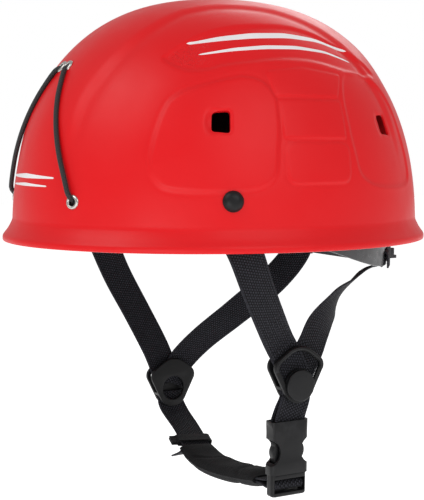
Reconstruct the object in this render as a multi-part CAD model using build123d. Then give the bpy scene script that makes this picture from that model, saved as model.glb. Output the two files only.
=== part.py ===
from build123d import *
import math
import os

# Climbing helmet with a riveted harness, a nape size adjuster and a chin buckle.
# Millimetres. The origin is the centre of the rim plane, +Z is up, the front faces -Y and
# the wearer's left is +X.

# ---- shell ----
HALF_WIDTH = 113.0
HALF_LENGTH = 138.0
HEIGHT = 152.5
WALL = 2.6
SIDE_POWER = 2.3          # fullness of the sides
TOP_POWER = 2.48          # fullness of the crown
LIP_OUT = 5.0             # how far the rim flares out
LIP_HEIGHT = 4.0
FLARE_TOP = 12.0

# ---- points on the shell: angle from +X round to the rear, and height ----
RIVET = (-22.2, 29.4)
FRONT_VENT = (-25.35, 74.3)
REAR_VENT = (32.15, 74.6)
LOW_EYELET = (-65.9, 27.6)
TOP_EYELET = (-87.1, 107.0)
VENT_SIZE = (10.8, 13.5)

# ---- webbing and cord ----
WEB = 21.0
WEB_THICK = 1.3
CORD_R = 1.5
EYELET_HOLE_R = 2.2
EYELET_FLANGE_R = 4.3

# ---- head ring: outer surface of the flexible band ----
RING_X = 93.0
RING_Y = 120.0
BAND_THICK = 2.0
SLOT_Z = -9.0             # slot in the nape arm that a rear strap hangs from

# ---- size adjuster at the nape ----
HOUSING_HALF = 42.0
HOUSING_Y = 102.0         # inner face of the back plate
HOUSING_LOW = -18.0
HOUSING_HIGH = 9.0
AXLE_Z = -4.5
PINION_TEETH = 12
MODULE = 1.0

# ---- strap dividers: centre of the near and the far one ----
DIVIDER_LEFT = (85.0, 5.0, -77.0)
DIVIDER_RIGHT = (-85.0, 10.0, -113.0)

# ---- buckle under the left ear ----
BUCKLE_X = 83.5
BUCKLE_Y = 0.5
SOCKET_TOP = -106.0
SOCKET_LOW = -139.0
PLUG_LOW = -152.8
TAIL_DROP = 2.0           # from the chin strap's middle to its tail's, on the outer side

PARTS = {}


def profile(height):
    """Fraction of the full width that the shell has at a height."""
    return (1 - (max(height, 0) / HEIGHT) ** SIDE_POWER) ** (1 / TOP_POWER)


def on_shell(angle, height, inset=0.0):
    """A point on the shell's outer surface, moved inwards by inset, and the outward normal."""
    c, s = math.cos(math.radians(angle)), math.sin(math.radians(angle))
    size = profile(height)
    step = (profile(height + 0.1) - profile(height - 0.1)) / 0.2
    normal = Vector(c / HALF_WIDTH, s / HALF_LENGTH, -step).normalized()
    point = Vector(HALF_WIDTH * size * c, HALF_LENGTH * size * s, height)
    return point - normal * inset, normal


def frame_at(angle, height, inset=0.0, mirrored=False):
    """A plane on the shell whose Z is the outward normal and whose X runs round the shell."""
    point, normal = on_shell(angle, height, inset)
    if mirrored:
        point = Vector(-point.X, point.Y, point.Z)
        normal = Vector(-normal.X, normal.Y, normal.Z)
    around = Vector(0, 0, 1).cross(normal)
    return Plane(origin=point, x_dir=around, z_dir=normal)


def flip(vector):
    """The same vector on the other side of the helmet."""
    return Vector(-vector.X, vector.Y, vector.Z)


def smooth(stations, steps):
    """Catmull-Rom points through stations of (centre, width direction)."""
    ends = [stations[0]] + list(stations) + [stations[-1]]
    dense = []
    for i in range(1, len(ends) - 2):
        for k in range(steps):
            t = k / steps
            mixed = []
            for part in (0, 1):
                a, b, c, d = (Vector(*ends[i + j][part]) for j in (-1, 0, 1, 2))
                mixed.append(
                    (b * 2 + (c - a) * t + (a * 2 - b * 5 + c * 4 - d) * t * t
                     + (b * 3 - a - c * 3 + d) * t ** 3) * 0.5
                )
            dense.append(tuple(mixed))
    dense.append((Vector(*stations[-1][0]), Vector(*stations[-1][1])))
    return dense


def ribbon(stations, width, thick, steps=3):
    """A flat strap as a closed solid that bends and twists through its stations."""
    line = smooth(stations, steps)
    rings = []
    for i, (centre, across) in enumerate(line):
        ahead = line[min(i + 1, len(line) - 1)][0] - line[max(i - 1, 0)][0]
        tangent = ahead.normalized()
        across = (across - tangent * across.dot(tangent)).normalized()
        face = tangent.cross(across)
        corners = ((1, 1), (-1, 1), (-1, -1), (1, -1))
        rings.append([centre + across * (a * width / 2) + face * (b * thick / 2) for a, b in corners])
    faces = [Face(Wire.make_polygon(rings[0])), Face(Wire.make_polygon(rings[-1]))]
    for low, high in zip(rings, rings[1:]):
        for k in range(4):
            m = (k + 1) % 4
            faces.append(Face(Wire.make_polygon([low[k], low[m], high[m]])))
            faces.append(Face(Wire.make_polygon([low[k], high[m], high[k]])))
    return Solid(Shell(faces))


def keep(name, *solids):
    """Name a piece. Several solids in one piece stay separate."""
    for solid in solids:
        solid.label = name
    PARTS[name] = solids[0] if len(solids) == 1 else Compound(children=list(solids))


# ---------------------------------------------------------------- shell and its fittings
def dome(half_width, half_length, height, lip):
    """A solid dome on the rim plane, with a flared lip if asked."""
    angles = [math.radians(a) for a in (5, 10, 15, 20, 28, 36, 44, 52, 60, 67, 74, 80, 85)]
    curve = [(half_width * math.cos(a) ** (2 / TOP_POWER), height * math.sin(a) ** (2 / SIDE_POWER))
             for a in angles] + [(0, height)]
    if lip:
        rim = [(half_width + lip, 0), (half_width + lip, LIP_HEIGHT), (half_width - 0.1, FLARE_TOP)]
    else:
        rim = [(half_width - 0.1, 0), (half_width - 0.1, FLARE_TOP)]
    with BuildPart() as solid:
        with BuildSketch(Plane.XZ):
            with BuildLine():
                Polyline((0, 0), *rim)
                Spline(rim[-1], *curve, tangents=[(0, 1), (-1, 0)])
                Line((0, height), (0, 0))
            make_face()
        revolve(axis=Axis.Z)
    return scale(solid.part.solid(), by=(1, half_length / half_width, 1))


def hole_through(plane, radius, depth=16):
    return extrude(plane * Circle(radius), amount=depth / 2, both=True)


def make_shell():
    outer = dome(HALF_WIDTH, HALF_LENGTH, HEIGHT, LIP_OUT)
    inner = dome(HALF_WIDTH - WALL, HALF_LENGTH - WALL, HEIGHT - WALL, 0)
    shell = outer - inner
    for mirrored in (False, True):
        for angle, height in (FRONT_VENT, REAR_VENT):
            opening = frame_at(angle, height, 0, mirrored) * RectangleRounded(*VENT_SIZE, 2.8)
            shell -= extrude(opening, amount=8, both=True)
        for (angle, height), radius in ((RIVET, 2.7), (LOW_EYELET, 3.0), (TOP_EYELET, 3.0)):
            shell -= hole_through(frame_at(angle, height, 0, mirrored), radius)
    keep("shell", shell.solid())


def make_eyelet(name, spot, mirrored):
    """A rolled eyelet: a flange outside, a barrel through the wall."""
    plane = frame_at(*spot, 0, mirrored)
    flange = extrude(plane.offset(0.15) * Circle(EYELET_FLANGE_R), amount=0.9)
    flange = fillet(flange.edges().group_by(Axis(plane.origin, plane.z_dir))[-1], 0.6)
    barrel = extrude(plane.offset(0.15) * Circle(2.85), amount=-(WALL + 0.8))
    keep(name, (flange + barrel - hole_through(plane, EYELET_HOLE_R)).solid())


def make_rivet(side, mirrored):
    """Domed rivet, the spacer bracket behind it, and the washer the rivet is closed on."""
    plane = frame_at(*RIVET, 0, mirrored)
    head = extrude(plane.offset(0.3) * Circle(6.1), amount=3.0)
    head = fillet(head.edges().group_by(Axis(plane.origin, plane.z_dir))[-1], 2.6)
    shank = extrude(plane.offset(0.3) * Circle(2.5), amount=-8.8)
    keep("side_rivet_" + side, (head + shank).solid())
    flange_face = WALL + WEB_THICK + 1.1
    body = extrude(plane.offset(-flange_face) * RectangleRounded(22, 17, 3), amount=-11.5)
    pocket = extrude(plane.offset(-flange_face - 2.0) * Circle(5.4), amount=-12)
    keep("side_bracket_" + side, (body - pocket - hole_through(plane, 2.65, 40)).solid())
    washer = extrude(plane.offset(-flange_face - 2.05) * Circle(5.0), amount=-1.0)
    keep("rivet_washer_" + side, (washer - hole_through(plane, 2.55, 40)).solid())


# ---------------------------------------------------------------- headlamp cord
def cord_half():
    """Route of the left half: knot, out of the low eyelet, up the front, in at the top eyelet."""
    low_in, _ = on_shell(*LOW_EYELET, 8.0)
    low_out, _ = on_shell(*LOW_EYELET, -3.0)
    top_out, _ = on_shell(*TOP_EYELET, -3.0)
    top_in, _ = on_shell(*TOP_EYELET, 7.0)
    climb = []
    for share in (0.16, 0.34, 0.53, 0.71, 0.87):
        x = low_out.X + (top_out.X - low_out.X) * share
        z = low_out.Z + (top_out.Z - low_out.Z) * share
        angle = -math.degrees(math.acos(x / (HALF_WIDTH * profile(z))))
        point, _ = on_shell(angle, z, -2.7)
        climb.append(point)
    return [low_in, low_out] + climb + [top_out, top_in]


def bend_radius(before, corner, after, limit):
    """The largest arc that the two runs at a corner leave room for, up to a limit."""
    turn = math.radians((corner - before).get_angle(after - corner))
    shorter = min((corner - before).length, (after - corner).length)
    return min(0.45 * shorter / math.tan(turn / 2), limit)


def make_cord():
    half = cord_half()
    route = half + [flip(point) for point in reversed(half)]
    tight = {1: 3.0, 7: 3.0, 8: 3.6, 9: 3.6, 10: 3.0, 16: 3.0}
    radii = [bend_radius(*route[i - 1:i + 2], tight.get(i, 400.0)) for i in range(1, len(route) - 1)]
    path = FilletPolyline(*route, radius=radii)
    start = Plane(origin=route[0], z_dir=route[1] - route[0])
    tube = sweep(start * Circle(CORD_R), path=path).solid()
    length = path.length
    print("cord length", round(length, 1), "volume ratio", round(tube.volume / (math.pi * CORD_R ** 2 * length), 4))
    print("cord radii", [round(r, 1) for r in radii])
    keep("lamp_cord", tube)
    for side, mirrored in (("left", False), ("right", True)):
        plane = frame_at(*LOW_EYELET, 8.0, mirrored)
        knot = extrude(plane * Circle(3.2), amount=-5.5)
        keep("cord_knot_" + side, fillet(knot.edges(), 1.6).solid())


# ---------------------------------------------------------------- head ring and cradle
def ring_point(angle, height, inset=0.0):
    """A point on the head ring's outer surface, moved inwards by inset."""
    c, s = math.cos(math.radians(angle)), math.sin(math.radians(angle))
    inward = Vector(c / RING_X, s / RING_Y, 0).normalized() * inset
    return Vector(RING_X * c, RING_Y * s, height) - inward


def ring_band(angles, height, tall, thick, inset):
    """An upright band round part of the head ring; height may be a function of angle."""
    level = height if callable(height) else (lambda angle: height)
    stations = [(ring_point(a, level(a), inset), Vector(0, 0, 1)) for a in angles]
    return ribbon(stations, tall, thick, steps=2)


def arm_level(angle):
    """Middle height of the nape arm, which drops below the rim behind the ears."""
    drop = 0.5 - 0.5 * math.cos(math.pi * min(max((angle + 20) / 72, 0), 1))
    return 20.0 - 26.5 * drop


def make_head_ring():
    keep("headband", ring_band(range(-151, -28, 6), 19.0, 26.0, BAND_THICK, 1.0))
    keep("forehead_pad", ring_band(range(-142, -37, 8), 19.0, 24.0, 5.0, 5.0))


def make_nape_arm(side, mirrored):
    """Flexible arm from the side bracket to the adjuster, with a slot for the rear strap."""
    arm = ring_band(range(-26, 62, 5), arm_level, 23.0, BAND_THICK, 1.0)
    slot_at = ring_point(56, SLOT_Z, 1.0)
    ahead = ring_point(57, 0) - ring_point(55, 0)
    slot = Plane(origin=slot_at, x_dir=ahead, z_dir=ahead.cross(Vector(0, 0, 1)))
    arm -= extrude(slot * RectangleRounded(WEB + 2.4, 4.4, 1.2), amount=6, both=True)
    arm = arm.solid()
    keep("nape_arm_" + side, mirror(arm, Plane.YZ) if mirrored else arm)


def cradle_stations(direction, top):
    """A crown strap from wall to wall over the head, through a direction in plan."""
    c, s = math.cos(math.radians(direction)), math.sin(math.radians(direction))
    across = Vector(-s, c, 0)
    stations = []
    for share in (-1, -0.9, -0.75, -0.55, -0.3, 0, 0.3, 0.55, 0.75, 0.9, 1):
        height = 44 + (top - 44) * (1 - abs(share) ** 2.2)
        stations.append((Vector(101.5 * c * share, 126.0 * s * share, height), across))
    return stations


def make_cradle():
    keep("crown_strap_a", ribbon(cradle_stations(52, 117.5), WEB, WEB_THICK, steps=2))
    keep("crown_strap_b", ribbon(cradle_stations(128, 120.5), WEB, WEB_THICK, steps=2))
    for name, angle in (("front_left", -52), ("front_right", -128), ("rear_left", 52), ("rear_right", 128)):
        plane = frame_at(angle, 40.5, WALL + 1.4)
        clip = extrude(plane * RectangleRounded(26, 15, 2.5), amount=-4.5)
        keep("cradle_anchor_" + name, clip.solid() - PARTS["crown_strap_a"] - PARTS["crown_strap_b"])
    pad = extrude(Plane.XY.offset(101.4) * Ellipse(34, 40), amount=5.0)
    keep("crown_pad", fillet(pad.edges(), 2.0).solid())


def make_liner():
    """Thin fabric dome under the crown straps, which darkens the inside behind the vents."""
    shares = (0.90, 0.84, 0.76, 0.66, 0.55, 0.42, 0.28, 0.14)
    line = [(101.5 * share, 41 + 73.5 * (1 - share ** 2.2)) for share in shares]
    inner = [(0, 113.5)] + [(r - 0.7, z - 1.0) for r, z in reversed(line)]
    with BuildPart() as dome_part:
        with BuildSketch(Plane.XZ):
            with BuildLine():
                Polyline(*line, (0, 114.5), *inner, line[0])
            make_face()
        revolve(axis=Axis.Z)
    keep("comfort_liner", scale(dome_part.part.solid(), by=(1, 126.0 / 101.5, 1)))


# ---------------------------------------------------------------- size adjuster
PINION_R = MODULE * PINION_TEETH / 2
PITCH = math.pi * MODULE
PLATE = 2.2
GEAR_Y = HOUSING_Y + PLATE + 0.3
GEAR_DEEP = 3.2
COVER_Y = HOUSING_Y + 10.0
KNOB_Y = COVER_Y + 0.4
KNOB_R = 16.0
KNOB_DEEP = 10.5


def housing_box(low_y, high_y, half, low_z, high_z, radius):
    """A block across the nape with rounded ends."""
    plane = Plane(origin=(0, low_y, (low_z + high_z) / 2), x_dir=(1, 0, 0), z_dir=(0, 1, 0))
    return extrude(plane * RectangleRounded(2 * half, high_z - low_z, radius), amount=high_y - low_y)


def along_y(radius, low_y, high_y, z=AXLE_Z):
    return extrude(Plane(origin=(0, low_y, z), x_dir=(1, 0, 0), z_dir=(0, 1, 0)) * Circle(radius),
                   amount=high_y - low_y)


def make_housing():
    plate = housing_box(HOUSING_Y, HOUSING_Y + PLATE, HOUSING_HALF, HOUSING_LOW, HOUSING_HIGH, 5)
    plate -= along_y(1.6, HOUSING_Y - 1, HOUSING_Y + PLATE + 1)
    keep("adjuster_plate", plate.solid())
    cover = housing_box(HOUSING_Y + PLATE + 0.05, COVER_Y, HOUSING_HALF, HOUSING_LOW, HOUSING_HIGH, 5)
    cover = fillet(cover.edges().group_by(Axis.Y)[-1], 1.6)
    channel = housing_box(HOUSING_Y + PLATE - 1, GEAR_Y + GEAR_DEEP + 0.4, HOUSING_HALF + 5,
                          AXLE_Z - 10.6, AXLE_Z + 10.6, 1)
    cover = cover - channel - along_y(2.65, HOUSING_Y, COVER_Y + 1)
    for end in (-1, 1):
        hook = Box(3.0, 3.0, 7.0).moved(Location((end * (HOUSING_HALF - 2.5), COVER_Y + 1.5, -12)))
        lip = Box(3.0, 2.0, 2.2).moved(Location((end * (HOUSING_HALF - 2.5), COVER_Y + 4.0, -14.4)))
        cover = cover + hook + lip
    keep("adjuster_cover", cover.solid())


def tooth_outline(middle, root, tip, half_root, half_tip):
    """Four corners of a tooth that points outwards at an angle."""
    c, s = math.cos(middle), math.sin(middle)
    return [(r * c - h * s, r * s + h * c)
            for r, h in ((root, -half_root), (tip, -half_tip), (tip, half_tip), (root, half_root))]


def make_pinion():
    """Pinion and its shaft, which ends in the knob."""
    plane = Plane(origin=(0, GEAR_Y, AXLE_Z), x_dir=(1, 0, 0), z_dir=(0, 1, 0))
    gear = extrude(plane * Circle(PINION_R - 1.05), amount=GEAR_DEEP)
    for k in range(PINION_TEETH):
        outline = tooth_outline(k * 2 * math.pi / PINION_TEETH, PINION_R - 1.6, PINION_R + 0.75, 0.8, 0.3)
        gear += extrude(plane * make_face(Polyline(*outline, close=True)), amount=GEAR_DEEP)
    shaft = along_y(2.5, GEAR_Y, KNOB_Y + 6.0) + along_y(1.5, HOUSING_Y + 0.3, GEAR_Y)
    keep("pinion_shaft", (gear + shaft).solid())


def make_rack(name, end, level):
    """A toothed tongue. end is the side its arm is on, level is +1 above the pinion."""
    back = PINION_R + 1.15
    low, high = sorted((level * back, level * (back + 2.6)))
    inner, outer = sorted((end * 41.0, -end * 7.0))
    bar = Box(outer - inner, GEAR_DEEP, high - low)
    bar = bar.moved(Location(((inner + outer) / 2, GEAR_Y + GEAR_DEEP / 2, AXLE_Z + (low + high) / 2)))
    plane = Plane(origin=(0, GEAR_Y, AXLE_Z), x_dir=(1, 0, 0), z_dir=(0, -1, 0))
    for k in range(-2, 12):
        x = end * (k + 0.5) * PITCH
        points = [(x - 0.85, level * (back + 0.2)), (x - 0.3, level * (PINION_R - 0.7)),
                  (x + 0.3, level * (PINION_R - 0.7)), (x + 0.85, level * (back + 0.2))]
        bar += extrude(plane * make_face(Polyline(*points, close=True)), amount=-GEAR_DEEP)
    keep(name, bar.solid())


def make_knob():
    knob = along_y(KNOB_R, KNOB_Y, KNOB_Y + KNOB_DEEP)
    knob = fillet(knob.edges().group_by(Axis.Y)[-1], 2.0)
    for k in range(16):
        angle = k * math.pi / 8
        centre = Vector(math.cos(angle) * (KNOB_R + 1.4), 0, math.sin(angle) * (KNOB_R + 1.4))
        groove = extrude(Plane(origin=centre + Vector(0, KNOB_Y - 1, AXLE_Z), x_dir=(1, 0, 0), z_dir=(0, 1, 0))
                         * Circle(2.4), amount=KNOB_DEEP + 2)
        knob -= groove
    knob -= along_y(2.5, KNOB_Y - 1, KNOB_Y + 6.0)
    knob -= along_y(8.0, KNOB_Y + KNOB_DEEP - 1.5, KNOB_Y + KNOB_DEEP + 1)
    keep("adjuster_knob", knob.solid())
    cap = along_y(7.9, KNOB_Y + KNOB_DEEP - 1.5, KNOB_Y + KNOB_DEEP - 0.2)
    keep("knob_cap", cap.solid())


def make_nape():
    make_housing()
    make_pinion()
    make_rack("rack_left", 1, 1)
    make_rack("rack_right", -1, -1)
    make_knob()
    stations = [(Vector(x, HOUSING_Y - 3.4 - (x / 34.0) ** 2 * 4.0, -3.0), Vector(0, 0, 1))
                for x in (-36, -24, -12, 0, 12, 24, 36)]
    pad = ribbon(stations, 22.0, 5.0, steps=2)
    keep("nape_pad", (pad - housing_box(HOUSING_Y - 0.2, HOUSING_Y + 9, 60, -30, 30, 1)).solid())


# ---------------------------------------------------------------- straps
def strap_top(mirrored):
    """Stations of a front strap at its rivet, flat against the wall."""
    stations = []
    for rise in (9.0, 0.0, -12.0):
        plane = frame_at(RIVET[0], RIVET[1] + rise, WALL + 0.8 + WEB_THICK / 2, mirrored)
        stations.append((plane.origin, plane.x_dir * (-1 if mirrored else 1)))
    return stations


def make_front_strap(name, mirrored, run):
    strap = ribbon(strap_top(mirrored) + run, WEB, WEB_THICK)
    strap -= hole_through(frame_at(*RIVET, 0, mirrored), 2.6, 24)
    keep(name, strap.solid())


def arm_rail(mirrored):
    """Stations of a rear strap round the lower rail of the nape arm's slot."""
    ahead = (ring_point(57, 0) - ring_point(55, 0)).normalized()
    out = Vector(ahead.Y, -ahead.X, 0)
    middle = ring_point(56, SLOT_Z, 1.0)
    around = [(2.6, -10.5), (2.5, -4.5), (2.0, -1.2), (0.0, 0.3), (-2.0, -1.2), (-2.6, -4.5), (-3.2, -8.0)]
    points = [middle + out * o + Vector(0, 0, z) for o, z in around]
    if mirrored:
        return [(flip(p), flip(ahead)) for p in points]
    return [(p, ahead) for p in points]


def make_rear_strap(name, mirrored, run):
    keep(name, ribbon(arm_rail(mirrored) + run, WEB, WEB_THICK))


def make_straps():
    make_front_strap("front_strap_left", False, [
        ((101.2, -41, -2), (0.25, 0.93, 0.25)),
        ((97.2, -30, -23), (0.12, 0.88, 0.44)),
        ((91.2, -17, -44), (0.05, 0.86, 0.5)),
        ((87.0, -8.5, -56.5), (0, 0.86, 0.5)),
        ((86.3, -2.5, -66), (0, 0.88, 0.46)),
        ((86.3, 4.2, -79), (0, 0.94, 0.34))])
    make_front_strap("front_strap_right", True, [
        ((-101.2, -38, -8), (-0.2, 0.94, 0.3)),
        ((-98.5, -27, -34), (-0.1, 0.9, 0.42)),
        ((-94, -14, -60), (0, 0.88, 0.47)),
        ((-88.4, -4, -82), (0, 0.88, 0.45)),
        ((-86.4, 1.5, -95), (0, 0.9, 0.42)),
        ((-86.3, 8.8, -114.5), (0, 0.95, 0.3))])
    make_rear_strap("rear_strap_left", False, [
        ((50.5, 82, -22), (-0.78, 0.62, -0.05)),
        ((61, 58, -32), (-0.8, 0.59, -0.15)),
        ((70.5, 42, -41.5), (-0.53, 0.76, -0.29)),
        ((79, 26, -52), (-0.16, 0.8, -0.4)),
        ((83.4, 18, -61), (0, 0.78, -0.6)),
        ((83.8, 14, -67.5), (0, 0.82, -0.56)),
        ((83.8, 8.8, -77.5), (0, 0.86, -0.5))])
    make_rear_strap("rear_strap_right", True, [
        ((-53.5, 90, -28.5), (0.54, 0.44, -0.7)),
        ((-59, 76, -44), (0.32, 0.55, -0.77)),
        ((-70, 55, -64), (0.1, 0.62, -0.77)),
        ((-79.5, 36, -81), (0, 0.68, -0.73)),
        ((-83.6, 22.5, -94), (0, 0.74, -0.67)),
        ((-83.8, 16, -102), (0, 0.8, -0.6)),
        ((-83.8, 10.6, -114.5), (0, 0.93, -0.37))])


# ---------------------------------------------------------------- strap dividers
def divider_outline(plane, inset=0.0):
    """Rounded triangle, wide at the top, round at the bottom."""
    circles = [Pos(0, 2) * Circle(15 - inset), Pos(-11, 4.5) * Circle(6.6 - inset),
               Pos(11, 4.5) * Circle(6.6 - inset), Pos(0, -7) * Circle(11.2 - inset)]
    return plane * make_hull([edge for circle in circles for edge in circle.edges()])


def make_divider(side, centre):
    """Two halves that clamp the straps between them, and the round button on the outside."""
    out = 1 if centre[0] > 0 else -1
    plane = Plane(origin=centre, x_dir=(0, out, 0), z_dir=(out, 0, 0))
    plate = extrude(divider_outline(plane.offset(2.6)), amount=2.2)
    window = extrude(divider_outline(plane.offset(2), 2.9), amount=4)
    seat = extrude(plane.offset(2) * (Pos(0, -7) * Circle(9.9)), amount=4)
    keep("divider_outer_" + side, (plate - (window - seat)).solid())
    back = extrude(divider_outline(plane.offset(-4.8)), amount=2.2)
    back -= extrude(plane.offset(-6) * (Pos(0, -4.5) * Circle(8.6)), amount=4)
    wall = extrude(divider_outline(plane.offset(-2.6)), amount=5.15)
    wall -= Box(12, 2 * (WEB / 2 + 0.5), 60).moved(Location(centre))
    wall -= Box(12, 60, 30).moved(Location((centre[0], centre[1], centre[2] + 7.5)))
    keep("divider_inner_" + side, (back + wall).solid())
    button = extrude(plane.offset(4.85) * (Pos(0, -7) * Circle(9.8)), amount=2.6)
    keep("divider_button_" + side, fillet(button.faces().sort_by(Axis.X)[-1 if out > 0 else 0].edges(), 1.0).solid())


# ---------------------------------------------------------------- buckle
def buckle_block(low_z, high_z, half_y, half_x, radius):
    """An upright block on the buckle's centre line, rounded as seen from above."""
    plane = Plane.XY.offset(low_z).move(Location((BUCKLE_X, BUCKLE_Y, 0)))
    return extrude(plane * RectangleRounded(2 * half_x, 2 * half_y, radius), amount=high_z - low_z)


def across_buckle(y, z, radius):
    """A round cutter through the buckle's thickness."""
    plane = Plane(origin=(BUCKLE_X, BUCKLE_Y + y, z), z_dir=(1, 0, 0))
    return extrude(plane * Circle(radius), amount=20, both=True)


def make_socket():
    body = buckle_block(SOCKET_LOW, SOCKET_TOP, 13.5, 4.8, 3.2)
    body -= buckle_block(SOCKET_LOW - 1, -115.8, 10.9, 3.1, 1.2)
    body -= buckle_block(-114.2, SOCKET_TOP + 1, 11.6, 3.6, 1.0)
    for side in (-1, 1):
        body -= across_buckle(side * 16.0, -125.0, 8.6)
        body -= across_buckle(side * 42.3, -114.5, 30.0)
    bar = Cylinder(1.1, 24.4, rotation=(90, 0, 0)).moved(Location((BUCKLE_X, BUCKLE_Y, -110.4)))
    keep("buckle_socket", (body + bar).solid())


def make_plug():
    body = buckle_block(PLUG_LOW, SOCKET_LOW - 0.3, 12.6, 4.3, 3.0)
    body = fillet(body.faces().sort_by(Axis.Z)[0].edges(), 1.6)
    window = buckle_block(PLUG_LOW + 2.6, SOCKET_LOW - 2.8, 11.0, 8, 1.0)
    bar = Cylinder(1.6, 23.0, rotation=(90, 0, 0)).moved(Location((BUCKLE_X, BUCKLE_Y, -146.1)))
    tongue = buckle_block(SOCKET_LOW - 1.0, -119.0, 2.4, 1.8, 0.8)
    shelf = buckle_block(SOCKET_LOW - 1.0, SOCKET_LOW + 2.0, 9.6, 2.4, 1.0)
    keep("buckle_plug", (body - window + bar + tongue + shelf).solid())


def make_prong(name, side):
    """Springy prong of the plug, whose pad shows in the socket's side window."""
    plane = Plane(origin=(BUCKLE_X, BUCKLE_Y, 0), x_dir=(0, side, 0), z_dir=(side, 0, 0))
    with BuildSketch(plane.offset(-2.3)) as shape:
        with BuildLine():
            Polyline((6.2, SOCKET_LOW + 2.3), (6.6, -127), (4.4, -117.5), (7.6, -116.6))
            ThreePointArc((7.6, -116.6), (9.6, -118.4), (10.3, -121.5))
            ThreePointArc((10.3, -121.5), (11.5, -125.5), (10.2, -129.5))
            Polyline((10.2, -129.5), (9.0, -133), (9.0, SOCKET_LOW + 2.3), (6.2, SOCKET_LOW + 2.3))
        make_face()
    keep(name, extrude(shape.sketch, amount=4.6).solid())


# ---------------------------------------------------------------- chin strap
CHIN_RUN = [
    ((-85, 10.3, -120.5), (0, 1, 0)), ((-85, 10.4, -128.5), (0, 1, 0)),
    ((-80.4, 12.6, -136.2), (0, 1, 0)), ((-71, 14.6, -143.8), (0, 1, 0)),
    ((-62, 14.4, -148.9), (0, 1, 0)), ((-56, 13.6, -151.6), (0, 1, 0)),
    ((-49, 12.4, -154.2), (0, 1, 0)), ((-40, 11.0, -156.6), (0, 1, 0)),
    ((-21, 9.0, -158.4), (0, 1, 0)), ((-1.5, 7.5, -157.4), (0, 1, 0)),
    ((17, 6.0, -155.1), (0, 1, 0)), ((36, 4.0, -151.9), (0, 1, 0)),
    ((54.5, 2.0, -148.5), (0, 1, 0)), ((66, BUCKLE_Y, -146.1), (0, 1, 0)),
    ((76.0, BUCKLE_Y, -144.3), (0, 1, 0))]


def lifted(stations, rise):
    """The same run moved to the inner side of the strap by rise."""
    moved = []
    for i, (centre, across) in enumerate(stations):
        ahead = Vector(*stations[min(i + 1, len(stations) - 1)][0]) - Vector(*stations[max(i - 1, 0)][0])
        up = ahead.cross(Vector(*across)).normalized()
        moved.append((Vector(*centre) + up * rise, across))
    return moved


def keeper_loop():
    """Stations of the elastic band round the chin strap, whose two ends are sewn together as a tab."""
    here = Vector(*CHIN_RUN[5][0])
    ahead = (Vector(*CHIN_RUN[6][0]) - here).normalized()
    side = Vector(0, 1, 0) - ahead * ahead.Y
    side = side.normalized()
    face = ahead.cross(side)
    middle = here - ahead * 0.5
    around = [(-17.5, 0.8), (-13.2, 0.9), (-11.2, 1.9), (0, 2.0), (11.0, 1.9), (12.3, 0),
              (11.0, -1.9), (0, -2.0), (-11.2, -1.9), (-13.2, -0.9), (-17.5, -0.8)]
    return [(middle + side * y + face * f, ahead) for y, f in around]


def make_chin():
    keep("chin_strap", ribbon(CHIN_RUN, WEB, WEB_THICK))
    tail_run = [((-64.0, 8.0, -163.0), (0.2, 1, 0.15)), ((-57.0, 10.4, -159.8), (0.08, 1, 0.06))]
    tail_run += lifted(CHIN_RUN, -TAIL_DROP)[6:-1] + [((76.0, BUCKLE_Y, -148.7), (0, 1, 0))]
    keep("strap_tail", ribbon(tail_run, WEB, WEB_THICK))
    middle = lifted(CHIN_RUN, -TAIL_DROP / 2)
    sleeve = ribbon(middle[6:14], 26.0, 9.0, steps=3)
    bore = ribbon(middle[5:15], WEB + 1.4, 5.0, steps=3)
    keep("chin_pad", (sleeve - bore).solid())
    loop = [(76.8, -144.1), (81.0, -143.5), (84.4, -143.7), (86.2, -146.1), (84.4, -148.5), (81.0, -148.7),
            (76.8, -148.8)]
    keep("plug_loop", ribbon([((x, BUCKLE_Y, z), (0, 1, 0)) for x, z in loop], WEB - 0.4, WEB_THICK))
    keep("tail_keeper", ribbon(keeper_loop(), 8.0, 1.2))


def make_socket_strap():
    loop = [(86.2, 5, -84.4), (86.2, 5, -92), (86.0, 2.6, -100), (85.7, BUCKLE_Y, -107.5),
            (85.4, BUCKLE_Y, -110.8), (83.5, BUCKLE_Y, -113), (81.6, BUCKLE_Y, -110.8),
            (81.3, BUCKLE_Y, -107.5), (82.2, 2.6, -100), (83.8, 5, -92), (83.8, 5, -84.4)]
    keep("socket_strap", ribbon([(p, (0, 1, 0)) for p in loop], WEB, WEB_THICK, steps=4))


def make_all():
    make_shell()
    for side, mirrored in (("left", False), ("right", True)):
        make_eyelet("cord_eyelet_low_" + side, LOW_EYELET, mirrored)
        make_eyelet("cord_eyelet_top_" + side, TOP_EYELET, mirrored)
        make_rivet(side, mirrored)
        make_nape_arm(side, mirrored)
    make_cord()
    make_head_ring()
    make_cradle()
    make_liner()
    make_nape()
    make_straps()
    make_divider("left", DIVIDER_LEFT)
    make_divider("right", DIVIDER_RIGHT)
    make_socket()
    make_plug()
    make_prong("prong_front", -1)
    make_prong("prong_rear", 1)
    make_chin()
    make_socket_strap()


make_all()
os.makedirs("parts", exist_ok=True)
for part_name, shape in PARTS.items():
    export_step(shape, "parts/" + part_name + ".step")
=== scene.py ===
"""Visual model of a climbing helmet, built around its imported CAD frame. Metres."""

import math

import bmesh
import bpy
import numpy as np
from mathutils import Matrix, Vector


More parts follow.
